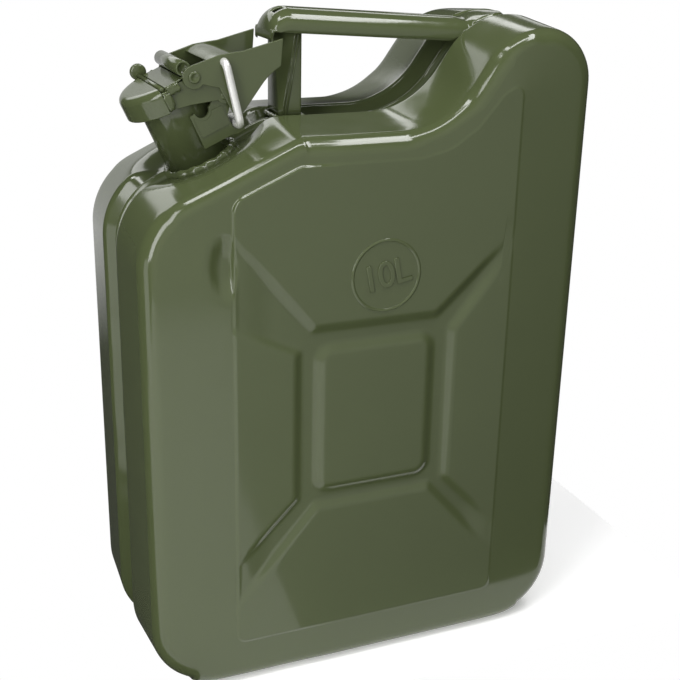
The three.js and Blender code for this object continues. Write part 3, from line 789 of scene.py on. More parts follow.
def seat_neck(row):
    """Presses the wall down round the neck's foot, level with the recess."""
    u, s = neck_place(row[:, 0], row[:, 2])
    pressed = 1 - smooth_step(*SEAT_RADII, np.hypot(u, row[:, 1]))
    drop = np.maximum(s + RECESS_INSET, 0.0) * pressed
    row[:, 0] += drop * SLOPE_SIN
    row[:, 2] -= drop * SLOPE_COS


def wall_rows(points, normals):
    """Rows of (x, v, z) from the seam across the wall to the start of the face."""
    probe = []
    for inset in PROBE_INSETS:
        x, z = (points - normals * inset).T
        probe.append(PANEL_V - margin_fall(x, z, outside_crease(x, z)))
    slopes = (probe[1] - probe[0]) / (PROBE_INSETS[1] - PROBE_INSETS[0])
    columns = []
    for p, n, level, slope in zip(points, normals, probe[1], slopes):
        profile = wall_profile(level, slope, wall_lean(n), wall_radius(n))
        columns.append([(p[0] - n[0] * t, v, p[1] - n[1] * t) for t, v in profile])
    rows = [np.array(row) for row in zip(*columns)]
    waves = np.array([uneven(x, z, RIPPLE_PITCH, RIPPLE_SEED) for x, z in points])
    for row in rows:
        ripple(row, waves)
        seat_neck(row)
    return rows


def face_rows(rim):
    """Rows of (x, v, z) from the wall's last row across the margin and the crease to the grid."""
    crease = resample(dense(CREASE_LINE, LINE_SPACING), CREASE_ANCHORS, SIDE_COUNTS)
    outwards = outward_normals(crease)
    start = rim[:, [0, 2]]
    gaps = np.array([np.min(np.linalg.norm(start - p, axis=1)) for p in crease])
    brim = crease + outwards * np.clip(gaps - BRIM_CLEAR, BRIM_LEAST, BRIM)[:, None]
    bank = crease - outwards * BANK
    border = grid_border()
    loops = [start + (brim - start) * t for t in np.linspace(0, 1, MARGIN_LOOPS + 2)[1:-1]]
    loops += [brim + (bank - brim) * t for t in np.linspace(0, 1, CREASE_LOOPS)]
    loops += [bank + (border - bank) * t for t in np.linspace(0, 1, BANK_LOOPS + 2)[1:-1]]
    lift = rim[:, 1] - face_height(rim[:, 0], rim[:, 2])
    rows = []
    for k, loop in enumerate(loops):
        fade = (1 - (k + 1) / len(loops)) ** LIFT_FADE_POWER
        v = face_height(loop[:, 0], loop[:, 1]) + lift * fade
        rows.append(np.stack([loop[:, 0], v, loop[:, 1]], 1))
    return rows


def round_border(at):
    """Values of a grid's border, anticlockwise from its low left corner."""
    columns, rows = range(GRID_COLUMNS), range(GRID_ROWS)
    bottom = [at(i, 0) for i in columns]
    right = [at(GRID_COLUMNS, j) for j in rows]
    top = [at(GRID_COLUMNS - i, GRID_ROWS) for i in columns]
    left = [at(0, GRID_ROWS - j) for j in rows]
    return bottom + right + top + left


def grid_lines():
    """Places of the grid's columns along x and of its rows along z."""
    return np.linspace(-GRID_X, GRID_X, GRID_COLUMNS + 1), np.linspace(*GRID_Z, GRID_ROWS + 1)


def grid_border():
    xs, zs = grid_lines()
    return np.array(round_border(lambda i, j: (xs[i], zs[j])))


def pressed_half(side):
    """One half of the body as a fine sheet with a round hole for the neck."""
    wall = wall_rows(*can_outline())
    body = Body()
    rows = [[body.put(x, side * v, z) for x, v, z in row] for row in wall + face_rows(wall[-1])]
    gx, gz = np.meshgrid(*grid_lines(), indexing="ij")
    gv = face_height(gx, gz)
    grid = [[body.put(gx[i, j], side * gv[i, j], gz[i, j]) for j in range(GRID_ROWS + 1)]
            for i in range(GRID_COLUMNS + 1)]
    rows.append(round_border(lambda i, j: grid[i][j]))
    body.rows(rows, caps=False)
    body.rows(list(zip(*grid)), wrap=False, caps=False)
    open_neck(body)
    if side > 0:
        body.faces = [tuple(reversed(f)) for f in body.faces]
    return body


def open_neck(body):
    """Takes the faces inside the neck away and draws the edge onto a circle."""
    kept = []
    inside = set()
    for f in body.faces:
        x, y, z = np.mean([body.points[i] for i in f], axis=0)
        u, s = neck_place(x, z)
        if math.hypot(u, y) < NECK_HOLE and abs(s) < HOLE_REACH:
            inside.update(f)
        else:
            kept.append(f)
    rim = {i for f in kept for i in f if i in inside}
    for i in rim:
        x, y, z = body.points[i]
        u, s = neck_place(x, z)
        scale = NECK_HOLE / max(math.hypot(u, y), TINY)
        body.points[i] = neck_point(u * scale, y * scale, s)
    body.faces = kept


class CAN_OT_shells(bpy.types.Operator):
    """Press the two halves of the body with their panels, channels and recess"""
    bl_idname = "jerry_can.shells"
    bl_label = "Pressed Halves"

    def execute(self, context):
        for name, side in (("near_half", -1), ("far_half", 1)):
            pressed_half(side).finish(name, "enamel", "can", [name.replace("half", "shell")],
                                      thick=SHEET, outward=False)
        return {"FINISHED"}


class CAN_OT_seam(bpy.types.Operator):
    """Run the weld bead round the recess between the halves"""
    bl_idname = "jerry_can.seam"
    bl_label = "Seam Bead"

    def execute(self, context):
        points, normals = can_outline()
        body = Body()
        rows = []
        for t, y in SEAM_SECTION + [(t, -y) for t, y in reversed(SEAM_SECTION[:-1])]:
            row = []
            for p, n in zip(points, normals):
                lump = SEAM_LUMP * uneven(*p, SEAM_LUMP_PITCH, 1.0 + y)
                drift = SEAM_DRIFT * uneven(*p, SEAM_DRIFT_PITCH, SEAM_DRIFT_SEED)
                inset = t + (lump if t < SEAM_ROOT else 0.0)
                row.append(body.put(p[0] - n[0] * inset, y + drift, p[1] - n[1] * inset))
            rows.append(row)
        body.rows(rows, caps=False)
        open_neck(body)
        body.finish("seam_bead", "enamel", "can", ["seam_weld"])
        return {"FINISHED"}


# Neck and closure

def neck_body():
    return Body(neck_point)


def lumpy_bead(steps=150, sides=12):
    """The weld bead round the neck's foot, with coarse and fine lumps."""
    bead = neck_body()
    rows = []
    for t in full_turn(steps):
        lump = uneven(math.cos(t), math.sin(t), BEAD_LUMP_PITCH, BEAD_LUMP_SEED)
        grain = uneven(math.cos(t), math.sin(t), BEAD_GRAIN_PITCH, BEAD_GRAIN_SEED)
        radius = BEAD_RADIUS + BEAD_LUMP * lump + BEAD_GRAIN * grain
        ring = BEAD_RING + BEAD_WANDER * lump
        row = []
        for turn in full_turn(sides):
            r = ring + radius * math.cos(turn)
            s = BEAD_RISE - RECESS_INSET + radius * BEAD_HEIGHT * math.sin(turn)
            row.append(bead.put(r * math.cos(t), r * math.sin(t), s))
        rows.append(row)
    return bead.loop(rows)


class CAN_OT_neck(bpy.types.Operator):
    """Stand the filler neck on its weld, with the vent pipe inside"""
    bl_idname = "jerry_can.neck"
    bl_label = "Filler Neck"

    def execute(self, context):
        lip = arc(NECK_RADIUS - 0.5, NECK_TOP - 1.6, LIP_RADIUS, -60, 180, 14)
        profile = [(NECK_BORE, NECK_FOOT), (NECK_RADIUS, NECK_FOOT), (NECK_RADIUS, NECK_TOP - 4.6), *lip,
                   (NECK_BORE, 26)]
        neck_body().lathe(profile, segments=72).finish("filler_neck", "enamel", "can", ["neck_tube"])
        lumpy_bead().finish("neck_bead", "enamel", "can", ["neck_weld"])

        bend_from, bend_to = (VENT_U, 0, -12), (26, 0, -32)
        route = [(VENT_U, 0, 32), bend_from, *curve(bend_from, (VENT_U, 0, -26), bend_to, 10), (74, 0, -53)]
        pipe = neck_body().tube(route, VENT_RADIUS, sides=24)
        pipe.finish("vent_pipe", "enamel", "can", ["breather_pipe"], bevel=0.3)
        return {"FINISHED"}


class CAN_OT_bracket(bpy.types.Operator):
    """Fold the saddle bracket round the neck, with its hinge pin"""
    bl_idname = "jerry_can.bracket"
    bl_label = "Neck Bracket"

    def execute(self, context):
        cheek = [(1, 3.2), (18, 3.2), (20.5, 2.4), (25.4, 2.4), (27, 4.8)]
        cheek += arc(*BAIL_FOOT, HOOK_RADIUS, -43, -180, 8)
        cheek += [(BAIL_FOOT[0] - HOOK_RADIUS, 14), (25.6, 20.6)]
        cheek += arc(*HINGE, 4.4, -46, 137, 14) + [(12.6, 22.6)]
        cheek += arc(8.2, 23, 4.2, 0, -180, 12) + [(1, 22.6)]
        flange = [(2.4, 9.4), (19.4, 9.4), (19.4, 20.4), (12.9, 20.6)]
        flange += arc(8.2, 22.4, 5.2, -20, -160, 10) + [(2.4, 20.6)]
        back = [(19.4, 11.2), (20.1, 11.2), (20.1, 21), (19.4, 21)]
        bracket = neck_body()
        flange_sides = both_sides(FLANGE_IN, FLANGE_SHEET)
        for ends, flange_ends in zip(both_sides(BRACKET_IN, BRACKET_SHEET), flange_sides):
            bracket.prism(cheek, *ends)
            bracket.prism(flange, *flange_ends)
        bracket.prism(back, -FLANGE_IN, FLANGE_IN)
        bracket.finish("neck_saddle", "enamel", "can", ["neck_bracket"], bevel=0.45)
        pin = neck_body().rod(HINGE, HINGE_RADIUS, -HINGE_HALF, HINGE_HALF)
        pin.finish("hinge_rod", "enamel", "can", ["hinge_pin"])
        return {"FINISHED"}


def cap_front(inset):
    """Outline of the cap's rounded front seen along the neck, drawn in by an inset."""
    radius = CAP_RADIUS - inset
    edge = math.degrees(math.acos(CAP_GROOVE[0] / radius))
    return arc(0, 0, radius, edge, 360 - edge, 48)


def crumple(body, centre, sizes, rough, seed, bands=12, sides=22):
    """A rounded lump of folded sheet with an uneven skin."""
    rows = []
    for i in range(bands + 1):
        lift = math.radians(CRUMPLE_POLE_DEG * (2 * i / bands - 1))
        row = []
        for turn in full_turn(sides):
            level = math.cos(lift)
            way = Vector((level * math.cos(turn), level * math.sin(turn), math.sin(lift)))
            swell = 1 + rough * noise.noise(way * CRUMPLE_PITCH + Vector((seed, 0, 0)))
            boxy = [math.copysign(abs(w) ** CRUMPLE_BOXY, w) for w in way]
            row.append(body.put(*(c + size * w * swell for c, size, w in zip(centre, sizes, boxy))))
        rows.append(row)
    body.rows(rows)


def cap_dome(cap):
    """The cap's round front with its skirt, hem and softened top edge."""
    edge = [(CAP_EDGE - CAP_EDGE * math.cos(a), CAP_TOP - CAP_EDGE + CAP_EDGE * math.sin(a))
            for a in map(math.radians, range(0, 91, 15))]
    hem = arc(CAP_HEM, CAP_SKIRT + CAP_HEM, CAP_HEM, 180, 360, 6)
    inner = [(CAP_EDGE, CAP_TOP - CAP_SHEET), (2 * CAP_HEM, CAP_TOP - 5.0)]
    profile = [*inner, *reversed(hem), *edge, (7.0, CAP_TOP + 0.2)]
    rows = [[cap.put(u, y, s) for u, y in cap_front(inset)] for inset, s in profile]
    cap.rows(rows, wrap=False)
    cap.faces.append(tuple([row[0] for row in rows] + [row[-1] for row in reversed(rows)]))


def cap_back(cap):
    """The cap's deck, the trough across it and the two straight cheeks."""
    groove_front, groove_back = CAP_GROOVE
    under, deck_end = CAP_TOP - CAP_SHEET, 6.0
    deck = [(groove_back, under), (deck_end, under), (deck_end, CAP_TOP), (groove_back, CAP_TOP)]
    cap.prism(deck, -CAP_BACK_HALF, CAP_BACK_HALF)
    front, back = groove_front - TROUGH_LAP, groove_back + TROUGH_LAP
    low, high = (CAP_TOP - sunk for sunk in TROUGH_SUNK)
    cap.prism([(front, low), (back, low), (back, high), (front, high)], -TROUGH_HALF, TROUGH_HALF)
    cheek = [(groove_front, CAP_TOP - 2.6), (groove_front, CAP_SKIRT + 1), (4, 28.6), (18.5, 24)]
    cheek += arc(*HINGE, 4, 191, 410, 14) + [(17, PIVOT[1])] + arc(*PIVOT, 5.5, 0, 90, 8)
    cheek += [(4, CAP_TOP - 0.4), (groove_back, CAP_TOP - 0.4), (groove_back, CAP_TOP - 2.6)]
    for ends in both_sides(CAP_BACK_HALF - CHEEK_SHEET, CHEEK_SHEET):
        cap.prism(cheek, *ends)


class CAN_OT_cap(bpy.types.Operator):
    """Press the cap with its skirt, trough, cheeks, curl and seal"""
    bl_idname = "jerry_can.cap"
    bl_label = "Cap"

    def execute(self, context):
        cap = neck_body()
        cap_dome(cap)
        cap_back(cap)
        cap.finish("cap_shell", "enamel", "cap", ["cap"], bevel=0.35)

        folds = neck_body()
        for side in (-1, 1):
            for (u, y, s), sizes, rough, seed in CAP_FOLDS:
                crumple(folds, (u, side * y, s), sizes, rough, seed + side)
        folds.finish("cap_folds", "enamel", "cap", [])

        rings = [(-y, r) for y, r in reversed(CURL_END)] + CURL_END
        neck_body().turned(CURL_AT, rings, segments=40).finish("cap_roll", "enamel", "cap", ["cap_curl"])

        neck_body().lathe(SEAL_RING).finish("seal_ring", "rubber", "cap", ["cap_gasket"])
        neck_body().lathe(SEAL_PLATE).finish("seal_plate", "enamel", "cap", ["gasket_retainer"])
        return {"FINISHED"}


class CAN_OT_locking_pin(bpy.types.Operator):
    """Lay the locking pin in the cap's trough, with its thumb knob"""
    bl_idname = "jerry_can.locking_pin"
    bl_label = "Locking Pin"

    def execute(self, context):
        pin = neck_body().rod(LOCK_AT, LOCK_RADIUS, *LOCK_ENDS)
        pin.finish("safety_pin", "enamel", "locking_pin", ["locking_pin"])
        knob = neck_body().turned(KNOB_AT, KNOB_RINGS, segments=36)
        knob.finish("thumb_knob", "enamel", "locking_pin", ["locking_knob"])
        return {"FINISHED"}


class CAN_OT_lever(bpy.types.Operator):
    """Bend the lever with its two flanks and curved web, on its pivot"""
    bl_idname = "jerry_can.lever"
    bl_label = "Lever"

    def execute(self, context):
        ear_top, brow = (PIVOT[0] + 1.5, PIVOT[1] + LEVER_EAR - 0.1), (28.2, 45.8)
        tail, toe = (57.5, 25), (27, 11.6)
        flank = [ear_top, *curve(ear_top, (22, 46.4), brow, 5)]
        flank += curve(brow, (35, 44.0), (42.1, 41.6), 5) + [(64.5, 37.8), tail]
        flank += curve(tail, (50, 24.5), (43, 20.5), 6) + [toe]
        flank += curve(toe, (24, 10.6), (22.8, 13), 5) + [(21.6, 30), (15.5, 34.6)]
        flank += arc(*PIVOT, LEVER_EAR, -63, -264, 20)
        web_top, web_under = (22.6, 44.6), (38.9, 38.5)
        web = [web_top, *curve(web_top, (32, 47.2), (40, 39.5), 14)]
        web += [web_under, *curve(web_under, (31.5, 45.2), (23.2, 43.1), 14)]
        lever = neck_body()
        for ends in both_sides(LEVER_IN, LEVER_SHEET):
            lever.prism(flank, *ends)
        lever.prism(web, -LEVER_IN - 0.2, LEVER_IN + 0.2)
        lever.finish("cam_lever", "enamel", "lever", ["lever"], bevel=0.4)

        pin = neck_body().rod(PIVOT, PIVOT_RADIUS, -PIVOT_HALF, PIVOT_HALF)
        for side in (-1, 1):
            pin.turned(PIVOT, [(side * y, r) for y, r in RIVET_HEAD])
        pin.finish("lever_rivet", "enamel", "cap", ["pivot_pin"])
        return {"FINISHED"}


class CAN_OT_bail(bpy.types.Operator):
    """Bend the zinc wire bail between the lever and the bracket's hooks"""
    bl_idname = "jerry_can.bail"
    bl_label = "Wire Bail"

    def execute(self, context):
        top, foot = Vector((BAIL_TOP[0], 0, BAIL_TOP[1])), Vector((BAIL_FOOT[0], 0, BAIL_FOOT[1]))
        up = (top - foot).normalized()

        def spot(base, y, climb):
            return tuple(base + Vector((0, y, 0)) + up * climb)

        leg, bend = BAIL_LEG_Y, BAIL_BEND
        half = [spot(foot, leg - bend, 0)]
        half += curve(half[0], spot(foot, leg, 0), spot(foot, leg, bend), 8)
        half += [spot(top, leg, -bend)]
        half += curve(half[-1], spot(top, leg, 0), spot(top, leg - bend, 0), 8)
        half += [spot(top, LEVER_IN - BAIL_END, 0)]
        path = [(u, -y, s) for u, y, s in reversed(half)] + half
        wire = neck_body().tube(path, settings().wire_radius / MM, sides=20)
        wire.finish("wire_bail", "zinc", "bail", ["bail"], bevel=0.5, angle=60)
        return {"FINISHED"}


# Carrying handle

def ridge_z(x, inset):
    """Height of the outline over the rear shoulder at x, drawn in by an inset."""
    points, normals = can_outline()
    line = points - normals * inset
    top = (line[:, 1] > RIDGE_TOP_Z) & (line[:, 0] > RIDGE_TOP_X[0]) & (line[:, 0] < RIDGE_TOP_X[1])
    order = np.argsort(line[top, 0])
    return float(np.interp(x, line[top, 0][order], line[top, 1][order]))


def bar_section(x):
    """Points of the bar's outer skin at one place along it."""
    share = (x - BAR_FRONT) / (BAR_BACK - BAR_FRONT)
    crown = BAR_CROWN[0] + (BAR_CROWN[1] - BAR_CROWN[0]) * share
    tongue = float(smooth_step(*TONGUE_FROM, np.array(x)))
    crown = crown * (1 - tongue) + ridge_z(x, TONGUE_SUNK) * tongue
    half = BAR_HALF + (TONGUE_HALF - BAR_HALF) * tongue
    tip = (x - TONGUE_TO + TONGUE_HALF) / TONGUE_HALF
    if tip > 0:
        half = TONGUE_HALF * math.sqrt(max(1 - tip * tip, TONGUE_TIP ** 2))
    hump = ridge_z(x, 0.0) + HUMP_CLEAR if x > HUMP_FROM_X else 0.0
    foot = min(max(crown - BAR_HEIGHT, hump), crown - BAR_SKIRT[0] - BAR_SKIRT[1] * (1 - tongue))
    if tongue > TONGUE_FLAT:
        foot = crown - TONGUE_THICK
    nose = max(0.0, (BAR_FRONT + NOSE_RADIUS - x) / NOSE_RADIUS)
    crown -= NOSE_RADIUS * (1 - math.sqrt(max(0.0, 1 - nose * nose)))
    bulge = BAR_BULGE * (1 - tongue) + TONGUE_BULGE
    line = [(x, -half, foot)]
    for k in range(BAR_STEPS + 1):
        angle = (2 * k / BAR_STEPS - 1) * math.pi / 2
        y = half * math.copysign(abs(math.sin(angle)) ** BAR_ROUND[0], angle)
        z = crown - bulge * (1 - abs(math.cos(angle)) ** BAR_ROUND[1])
        line.append((x, y, max(z, foot + SKIRT_EDGE)))
    return line + [(x, half, foot)]


def in_slot(middle):
    """Whether a face of the bar lies in the short slot near its front."""
    x, y, z = middle
    return SLOT_X[0] < x < SLOT_X[1] and SLOT_Y[0] < y < SLOT_Y[1] and z > BAR_CROWN[1]


def channel_bar():
    """The rolled bar with its rounded nose, small slot and rear tongue."""
    bar = Body()
    front = bar_section(BAR_FRONT)
    sections = []
    for level in np.linspace(*NOSE_Z, NOSE_LEVELS):
        sections.append([(x, y, min(z, level)) for x, y, z in front])
    tip_from = TONGUE_TO - TONGUE_HALF
    stops = [BAR_FRONT + NOSE_RADIUS * (1 - math.cos(math.radians(a))) for a in range(0, 91, 10)]
    stops += list(np.linspace(BAR_FRONT + NOSE_RADIUS + 1, BAR_FINE_FROM - 3, BAR_STOPS))
    stops += list(np.linspace(BAR_FINE_FROM, tip_from, BAR_FINE_STOPS))
    stops += [tip_from + TONGUE_HALF * math.sin(math.radians(a)) for a in range(8, 91, 8)]
    sections += [bar_section(x) for x in stops]
    bar.rows([[bar.put(*p) for p in line] for line in sections], wrap=False, caps=False)
    bar.faces = [f for f in bar.faces if not in_slot(np.mean([bar.points[i] for i in f], axis=0))]
    return bar


def folded_post():
    """The post under the bar: a corner cut back more towards the top, and two fold lines beside it."""
    post = Body()
    front, back = POST_X
    low, high = POST_Z
    rows = []
    for t in np.linspace(0, 1, POST_LEVELS):
        cut = POST_CUT[0] + (POST_CUT[1] - POST_CUT[0]) * t
        corners = [(front, -POST_HALF + cut, CUT_RADIUS), (front + cut, -POST_HALF, CUT_RADIUS),
                   (back, -POST_HALF, POST_RADIUS), (back, POST_HALF, POST_RADIUS),
                   (front, POST_HALF, POST_RADIUS)]
        rows.append([post.put(x, y, low + (high - low) * t) for x, y in fillet(corners, 5)])
    post.rows(rows)
    y = -POST_HALF - FOLD_OUT
    for shift in FOLD_SHIFTS:
        ends = [(front + POST_CUT[0] + shift, y, low), (front + POST_CUT[1] + shift, y, high - FOLD_SHORT)]
        post.tube(ends, FOLD_RADIUS, sides=10)
    return post


def post_bead():
    """The uneven weld bead round the post's foot."""
    weld = Body()
    front, back = POST_X[0] - WELD_GAP[0], POST_X[1] + WELD_GAP[0]
    side = POST_HALF + WELD_GAP[1]
    corners = [(x, y, WELD_CORNER) for x, y in ((front, -side), (back, -side), (back, side), (front, side))]
    middle = sum(POST_X) / 2
    rows = []
    for x, y in dense(fillet(corners, 6), WELD_SPACING):
        radius = WELD_RADIUS + WELD_LUMP * uneven(x, y, WELD_PITCH, WELD_SEED)
        row = []
        for turn in full_turn(WELD_SIDES):
            reach = 1 + radius * math.cos(turn) / math.hypot(x - middle, y)
            z = POST_Z[0] + WELD_RISE + radius * math.sin(turn)
            row.append(weld.put(middle + (x - middle) * reach, y * reach, z))
        rows.append(row)
    return weld.loop(rows)


class CAN_OT_handle(bpy.types.Operator):
    """Roll the channel handle with its rear tongue, and fold its front post"""
    bl_idname = "jerry_can.handle"
    bl_label = "Carrying Handle"

    def execute(self, context):
        bar = channel_bar()
        bar.finish("handle_channel", "enamel", "can", ["handle_bar"], thick=BAR_SHEET, outward=False)
        folded_post().finish("handle_strut", "enamel", "can", ["handle_post"])
        post_bead().finish("strut_bead", "enamel", "can", ["post_weld"])
        return {"FINISHED"}


# Capacity mark

def raised_ring(steps=96, bands=8):
    """The low round-backed ring pressed out of the near panel."""
    ring = Body()
    rows = []
    for t in full_turn(steps):
        row = []
        for a in range(bands + 1):
            across = MARK_HALF * (2 * a / bands - 1)
            rise = MARK_RISE * math.cos(across / MARK_HALF * math.pi / 2)
            r = MARK_RADIUS + across
            y = -PANEL_V + MARK_SUNK - rise
            row.append(ring.put(MARK_AT[0] + r * math.cos(t), y, MARK_AT[1] + r * math.sin(t)))
        rows.append(row)
    return ring.loop(rows)


class CAN_OT_capacity_mark(bpy.types.Operator):
    """Emboss the ring and the plain capacity figure on the near panel"""
    bl_idname = "jerry_can.capacity_mark"
    bl_label = "Capacity Mark"

    def execute(self, context):
        raised_ring().finish("capacity_ring", "enamel", "can", [])
        text = bpy.data.curves.new("capacity_figure", "FONT")
        text.body = "10L"
        text.align_x = "CENTER"
        text.align_y = "CENTER"
        text.size = FIGURE_SIZE * MM
        text.space_character = FIGURE_SPACING
        text.extrude = FIGURE_RISE * MM
        text.bevel_depth = FIGURE_ROUND * MM
        text.bevel_resolution = 2
        figure = bpy.data.objects.new("capacity_figure", text)
        context.scene.collection.objects.link(figure)
        place = Matrix.Translation(Vector((MARK_AT[0], -PANEL_V, MARK_AT[1])) * MM)
        upright = Matrix.Rotation(math.radians(90), 4, "X")
        figure.matrix_world = place @ upright @ Matrix.Rotation(FIGURE_TURN, 4, "Z")
        text.materials.append(FINISHES["enamel"]())
        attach(figure, "can")
        return {"FINISHED"}


# Studio, in metres

AREA_LAMP_FACTOR = 4.0
CAN_TOP = (0.0, 0.0, 0.33)
TABLE = [
    (-0.108, 0.14), (-0.108, -0.08), (-0.60, -0.08), (-0.60, -0.73), (0.05, -0.73), (-0.03, -0.10),
    (0.24, -0.10), (0.24, 0.25), (0.05, 0.25), (-0.09, 0.14),
]
TABLE_ROUGHNESS = 0.9
ROOM_DARK = 0.05
ROOM_EDGE = (-0.9, -0.6)
BACKDROP_EDGE = (0.93, 0.96)
OVERHEAD_LAMPS = [
    ("right_top_box", (0.51, -0.33, 1.40), (0.28, 0.80)),
    ("middle_top_strip", (0.03, -0.36, 1.40), (0.68, 0.17)),
    ("left_top_box", (-0.43, -0.14, 1.40), (0.22, 0.50)),
]
AIMED_LAMPS = [
    ("left_box", (-0.85, -0.66, 0.72), (0.36, 1.05), "left_level"),
    ("left_card", (-0.80, -0.32, 0.10), (0.35, 0.35), "card_level"),
    ("rear_strip", (0.55, 0.98, 0.98), (0.35, 0.16), "rear_level"),
    ("back_wall", (-0.21, 1.22, 1.00), (1.24, 0.40), "wall_level"),
    ("back_low", (0.75, 1.03, 0.58), (0.35, 0.16), "low_level"),
]
SENSOR_WIDTH = 36.0
NEAR_CLIP = 0.01


def table_paint():
    """Pale matt paint with a little light of its own."""
    material = bpy.data.materials.new("studio_white")
    material.use_nodes = True
    shader = material.node_tree.nodes["Principled BSDF"]
    shader.inputs["Base Color"].default_value = (*settings().floor, 1.0)
    shader.inputs["Roughness"].default_value = TABLE_ROUGHNESS
    shader.inputs["Emission Color"].default_value = (1, 1, 1, 1)
    shader.inputs["Emission Strength"].default_value = settings().floor_glow
    return material


def set_table(scene):
    mesh = bpy.data.meshes.new("studio_table")
    mesh.from_pydata([(x, y, 0.0) for x, y in TABLE], [], [tuple(range(len(TABLE)))])
    mesh.materials.append(table_paint())
    floor = bpy.data.objects.new("studio_table", mesh)
    scene.collection.objects.link(floor)


def set_air(scene, look):
    """A room that is lit in front and dark behind, with a white backdrop for the camera."""
    world = bpy.data.worlds.new("studio_air")
    world.use_nodes = True
    scene.world = world
    tree = world.node_tree
    air = tree.nodes["Background"]
    air.inputs["Color"].default_value = (1, 1, 1, 1)
    path = tree.nodes.new("ShaderNodeLightPath")
    way = tree.nodes.new("ShaderNodeSeparateXYZ")
    feed(tree, way.inputs["Vector"], tree.nodes.new("ShaderNodeTexCoord").outputs["Generated"])
    room = ranged(tree, way.outputs["Y"], look.air_level, ROOM_DARK, *ROOM_EDGE)
    backdrop = ranged(tree, way.outputs["Y"], room, look.backdrop_level, *BACKDROP_EDGE)
    mirrored = combine(tree, "MAXIMUM", path.outputs["Is Glossy Ray"], path.outputs["Is Transmission Ray"])
    around = ranged(tree, mirrored, room, backdrop, 0.0, 1.0)
    feed(tree, air.inputs["Strength"], ranged(tree, path.outputs["Is Camera Ray"], around, 1.0, 0.0, 1.0))


def add_lamp(name, place, size, level):
    """A flat lamp that faces down; level is how bright its face is, with white at 1."""
    lamp = bpy.data.lights.new(name, "AREA")
    lamp.shape = "RECTANGLE"
    lamp.size, lamp.size_y = size
    lamp.energy = level * AREA_LAMP_FACTOR * size[0] * size[1]
    holder = bpy.data.objects.new(name, lamp)
    bpy.context.scene.collection.objects.link(holder)
    holder.location = place
    return holder


def set_lamps(look):
    for name, place, size in OVERHEAD_LAMPS:
        add_lamp(name, place, size, look.top_level)
    for name, place, size, level in AIMED_LAMPS:
        holder = add_lamp(name, place, size, getattr(look, level))
        holder.rotation_mode = "QUATERNION"
        holder.rotation_quaternion = (Vector(CAN_TOP) - holder.location).to_track_quat("-Z", "Y")


def set_camera(scene, look):
    lens = bpy.data.cameras.new("photo_camera")
    lens.sensor_width = SENSOR_WIDTH
    lens.lens = look.lens
    lens.clip_start = NEAR_CLIP
    camera = bpy.data.objects.new("photo_camera", lens)
    scene.collection.objects.link(camera)
    az, el, roll = look.azimuth, look.elevation, look.roll
    back = Vector((math.sin(az) * math.cos(el), -math.cos(az) * math.cos(el), math.sin(el)))
    level = Vector((math.cos(az), math.sin(az), 0))
    right = level * math.cos(roll) + back.cross(level) * math.sin(roll)
    turned = Matrix((right, back.cross(right), back)).transposed().to_4x4()
    camera.matrix_world = Matrix.Translation(Vector(look.aim) + back * look.distance) @ turned
    scene.camera = camera


class CAN_OT_stage(bpy.types.Operator):
    """Set the pale table, the room, the lamps and the camera"""
    bl_idname = "jerry_can.stage"
    bl_label = "Studio"

    def execute(self, context):
        scene = context.scene
        look = settings()
        set_table(scene)
        set_air(scene, look)
        set_lamps(look)
        set_camera(scene, look)
        scene.view_settings.view_transform = "Standard"
        return {"FINISHED"}


# Settings, panel and registration

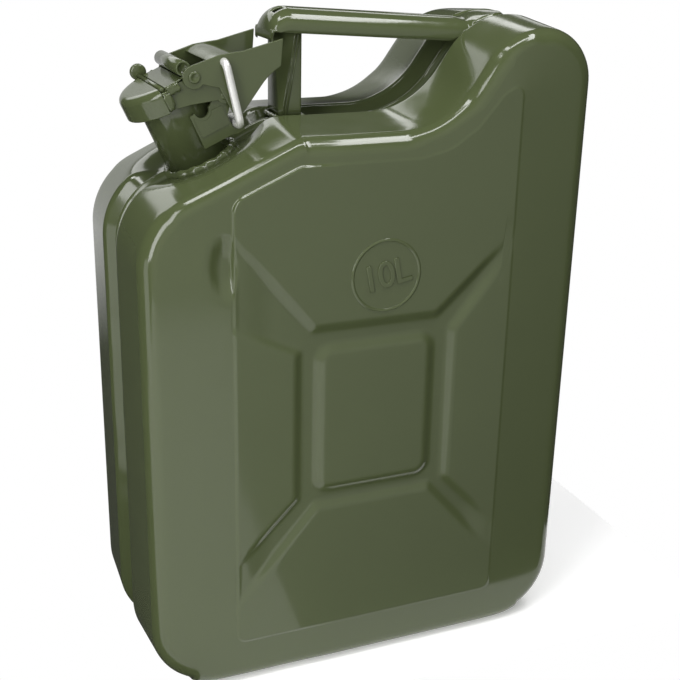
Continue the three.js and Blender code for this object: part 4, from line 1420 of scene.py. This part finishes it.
class JerryCanSettings(bpy.types.PropertyGroup):
    """Colours, sizes and studio values that can be changed before the pieces are made"""
    enamel: FloatVectorProperty(
        name="Enamel", description="Colour of the gloss paint", subtype="COLOR",
        default=(0.069, 0.086, 0.036), min=0, max=1)
    zinc: FloatVectorProperty(
        name="Zinc", description="Colour of the plated wire", subtype="COLOR",
        default=(0.84, 0.84, 0.81), min=0, max=1)
    rubber: FloatVectorProperty(
        name="Rubber", description="Colour of the seal", subtype="COLOR",
        default=(0.02, 0.02, 0.02), min=0, max=1)
    floor: FloatVectorProperty(
        name="Table", description="Colour of the studio table", subtype="COLOR",
        default=(0.86, 0.86, 0.86), min=0, max=1)
    floor_glow: FloatProperty(
        name="Table Glow", description="Light that the table gives of itself", default=0.30, min=0)
    paint_ripple: FloatProperty(
        name="Paint Ripple", description="Depth of the paint's ripple in millimetres", default=0.02, min=0)
    wire_radius: FloatProperty(
        name="Wire Radius", description="Half the thickness of the bail's wire", default=0.0022,
        unit="LENGTH")
    air_level: FloatProperty(
        name="Room", description="Light that comes from the room in front", default=0.70, min=0)
    backdrop_level: FloatProperty(
        name="Backdrop", description="Backdrop that the paint and wire mirror", default=0.7, min=0)
    top_level: FloatProperty(
        name="Top Lamps", description="Brightness of the overhead soft boxes", default=9.5, min=0)
    left_level: FloatProperty(
        name="Left Lamp", description="Brightness of the soft box at the left", default=5.7, min=0)
    card_level: FloatProperty(
        name="Left Card", description="Brightness of the low card at the left", default=1.3, min=0)
    rear_level: FloatProperty(
        name="Rear Strip", description="Brightness of the strip above the back", default=2.2, min=0)
    wall_level: FloatProperty(
        name="Back Wall", description="Brightness of the panel behind the can", default=1.7, min=0)
    low_level: FloatProperty(
        name="Back Low", description="Brightness of the low panel behind the can", default=0.7, min=0)
    lens: FloatProperty(
        name="Lens", description="Focal length in millimetres", default=63.38, unit="CAMERA")
    azimuth: FloatProperty(
        name="Azimuth", description="Camera's turn round the can", subtype="ANGLE",
        default=math.radians(-23.287))
    elevation: FloatProperty(
        name="Elevation", description="Camera's height above the horizon", subtype="ANGLE",
        default=math.radians(20.883))
    roll: FloatProperty(
        name="Roll", description="Camera's tilt", subtype="ANGLE", default=math.radians(1.201))
    distance: FloatProperty(
        name="Distance", description="Camera's distance from its aim", default=0.74484, unit="LENGTH")
    aim: FloatVectorProperty(
        name="Aim", description="Point that the camera looks at", subtype="XYZ",
        default=(0.00533, -0.00085, 0.18704))


class CAN_PT_sidebar(bpy.types.Panel):
    """Lists the steps that dress the can"""
    bl_idname = "CAN_PT_sidebar"
    bl_label = "Jerry Can"
    bl_space_type = "VIEW_3D"
    bl_region_type = "UI"
    bl_category = "Jerry Can"

    def draw(self, context):
        for name in JerryCanSettings.__annotations__:
            self.layout.prop(context.scene.jerry_can, name)
        for step in STEPS:
            self.layout.operator(step.bl_idname)


STEPS = (
    CAN_OT_stage, CAN_OT_shells, CAN_OT_seam, CAN_OT_neck, CAN_OT_bracket, CAN_OT_cap, CAN_OT_locking_pin,
    CAN_OT_lever, CAN_OT_bail, CAN_OT_handle, CAN_OT_capacity_mark,
)
CLASSES = (JerryCanSettings, *STEPS, CAN_PT_sidebar)


def register():
    for cls in CLASSES:
        bpy.utils.register_class(cls)
    bpy.types.Scene.jerry_can = PointerProperty(type=JerryCanSettings)


def unregister():
    del bpy.types.Scene.jerry_can
    for cls in reversed(CLASSES):
        bpy.utils.unregister_class(cls)


def main():
    register()
    for step in STEPS:
        area, name = step.bl_idname.split(".")
        getattr(getattr(bpy.ops, area), name)()


if __name__ == "__main__":
    main()
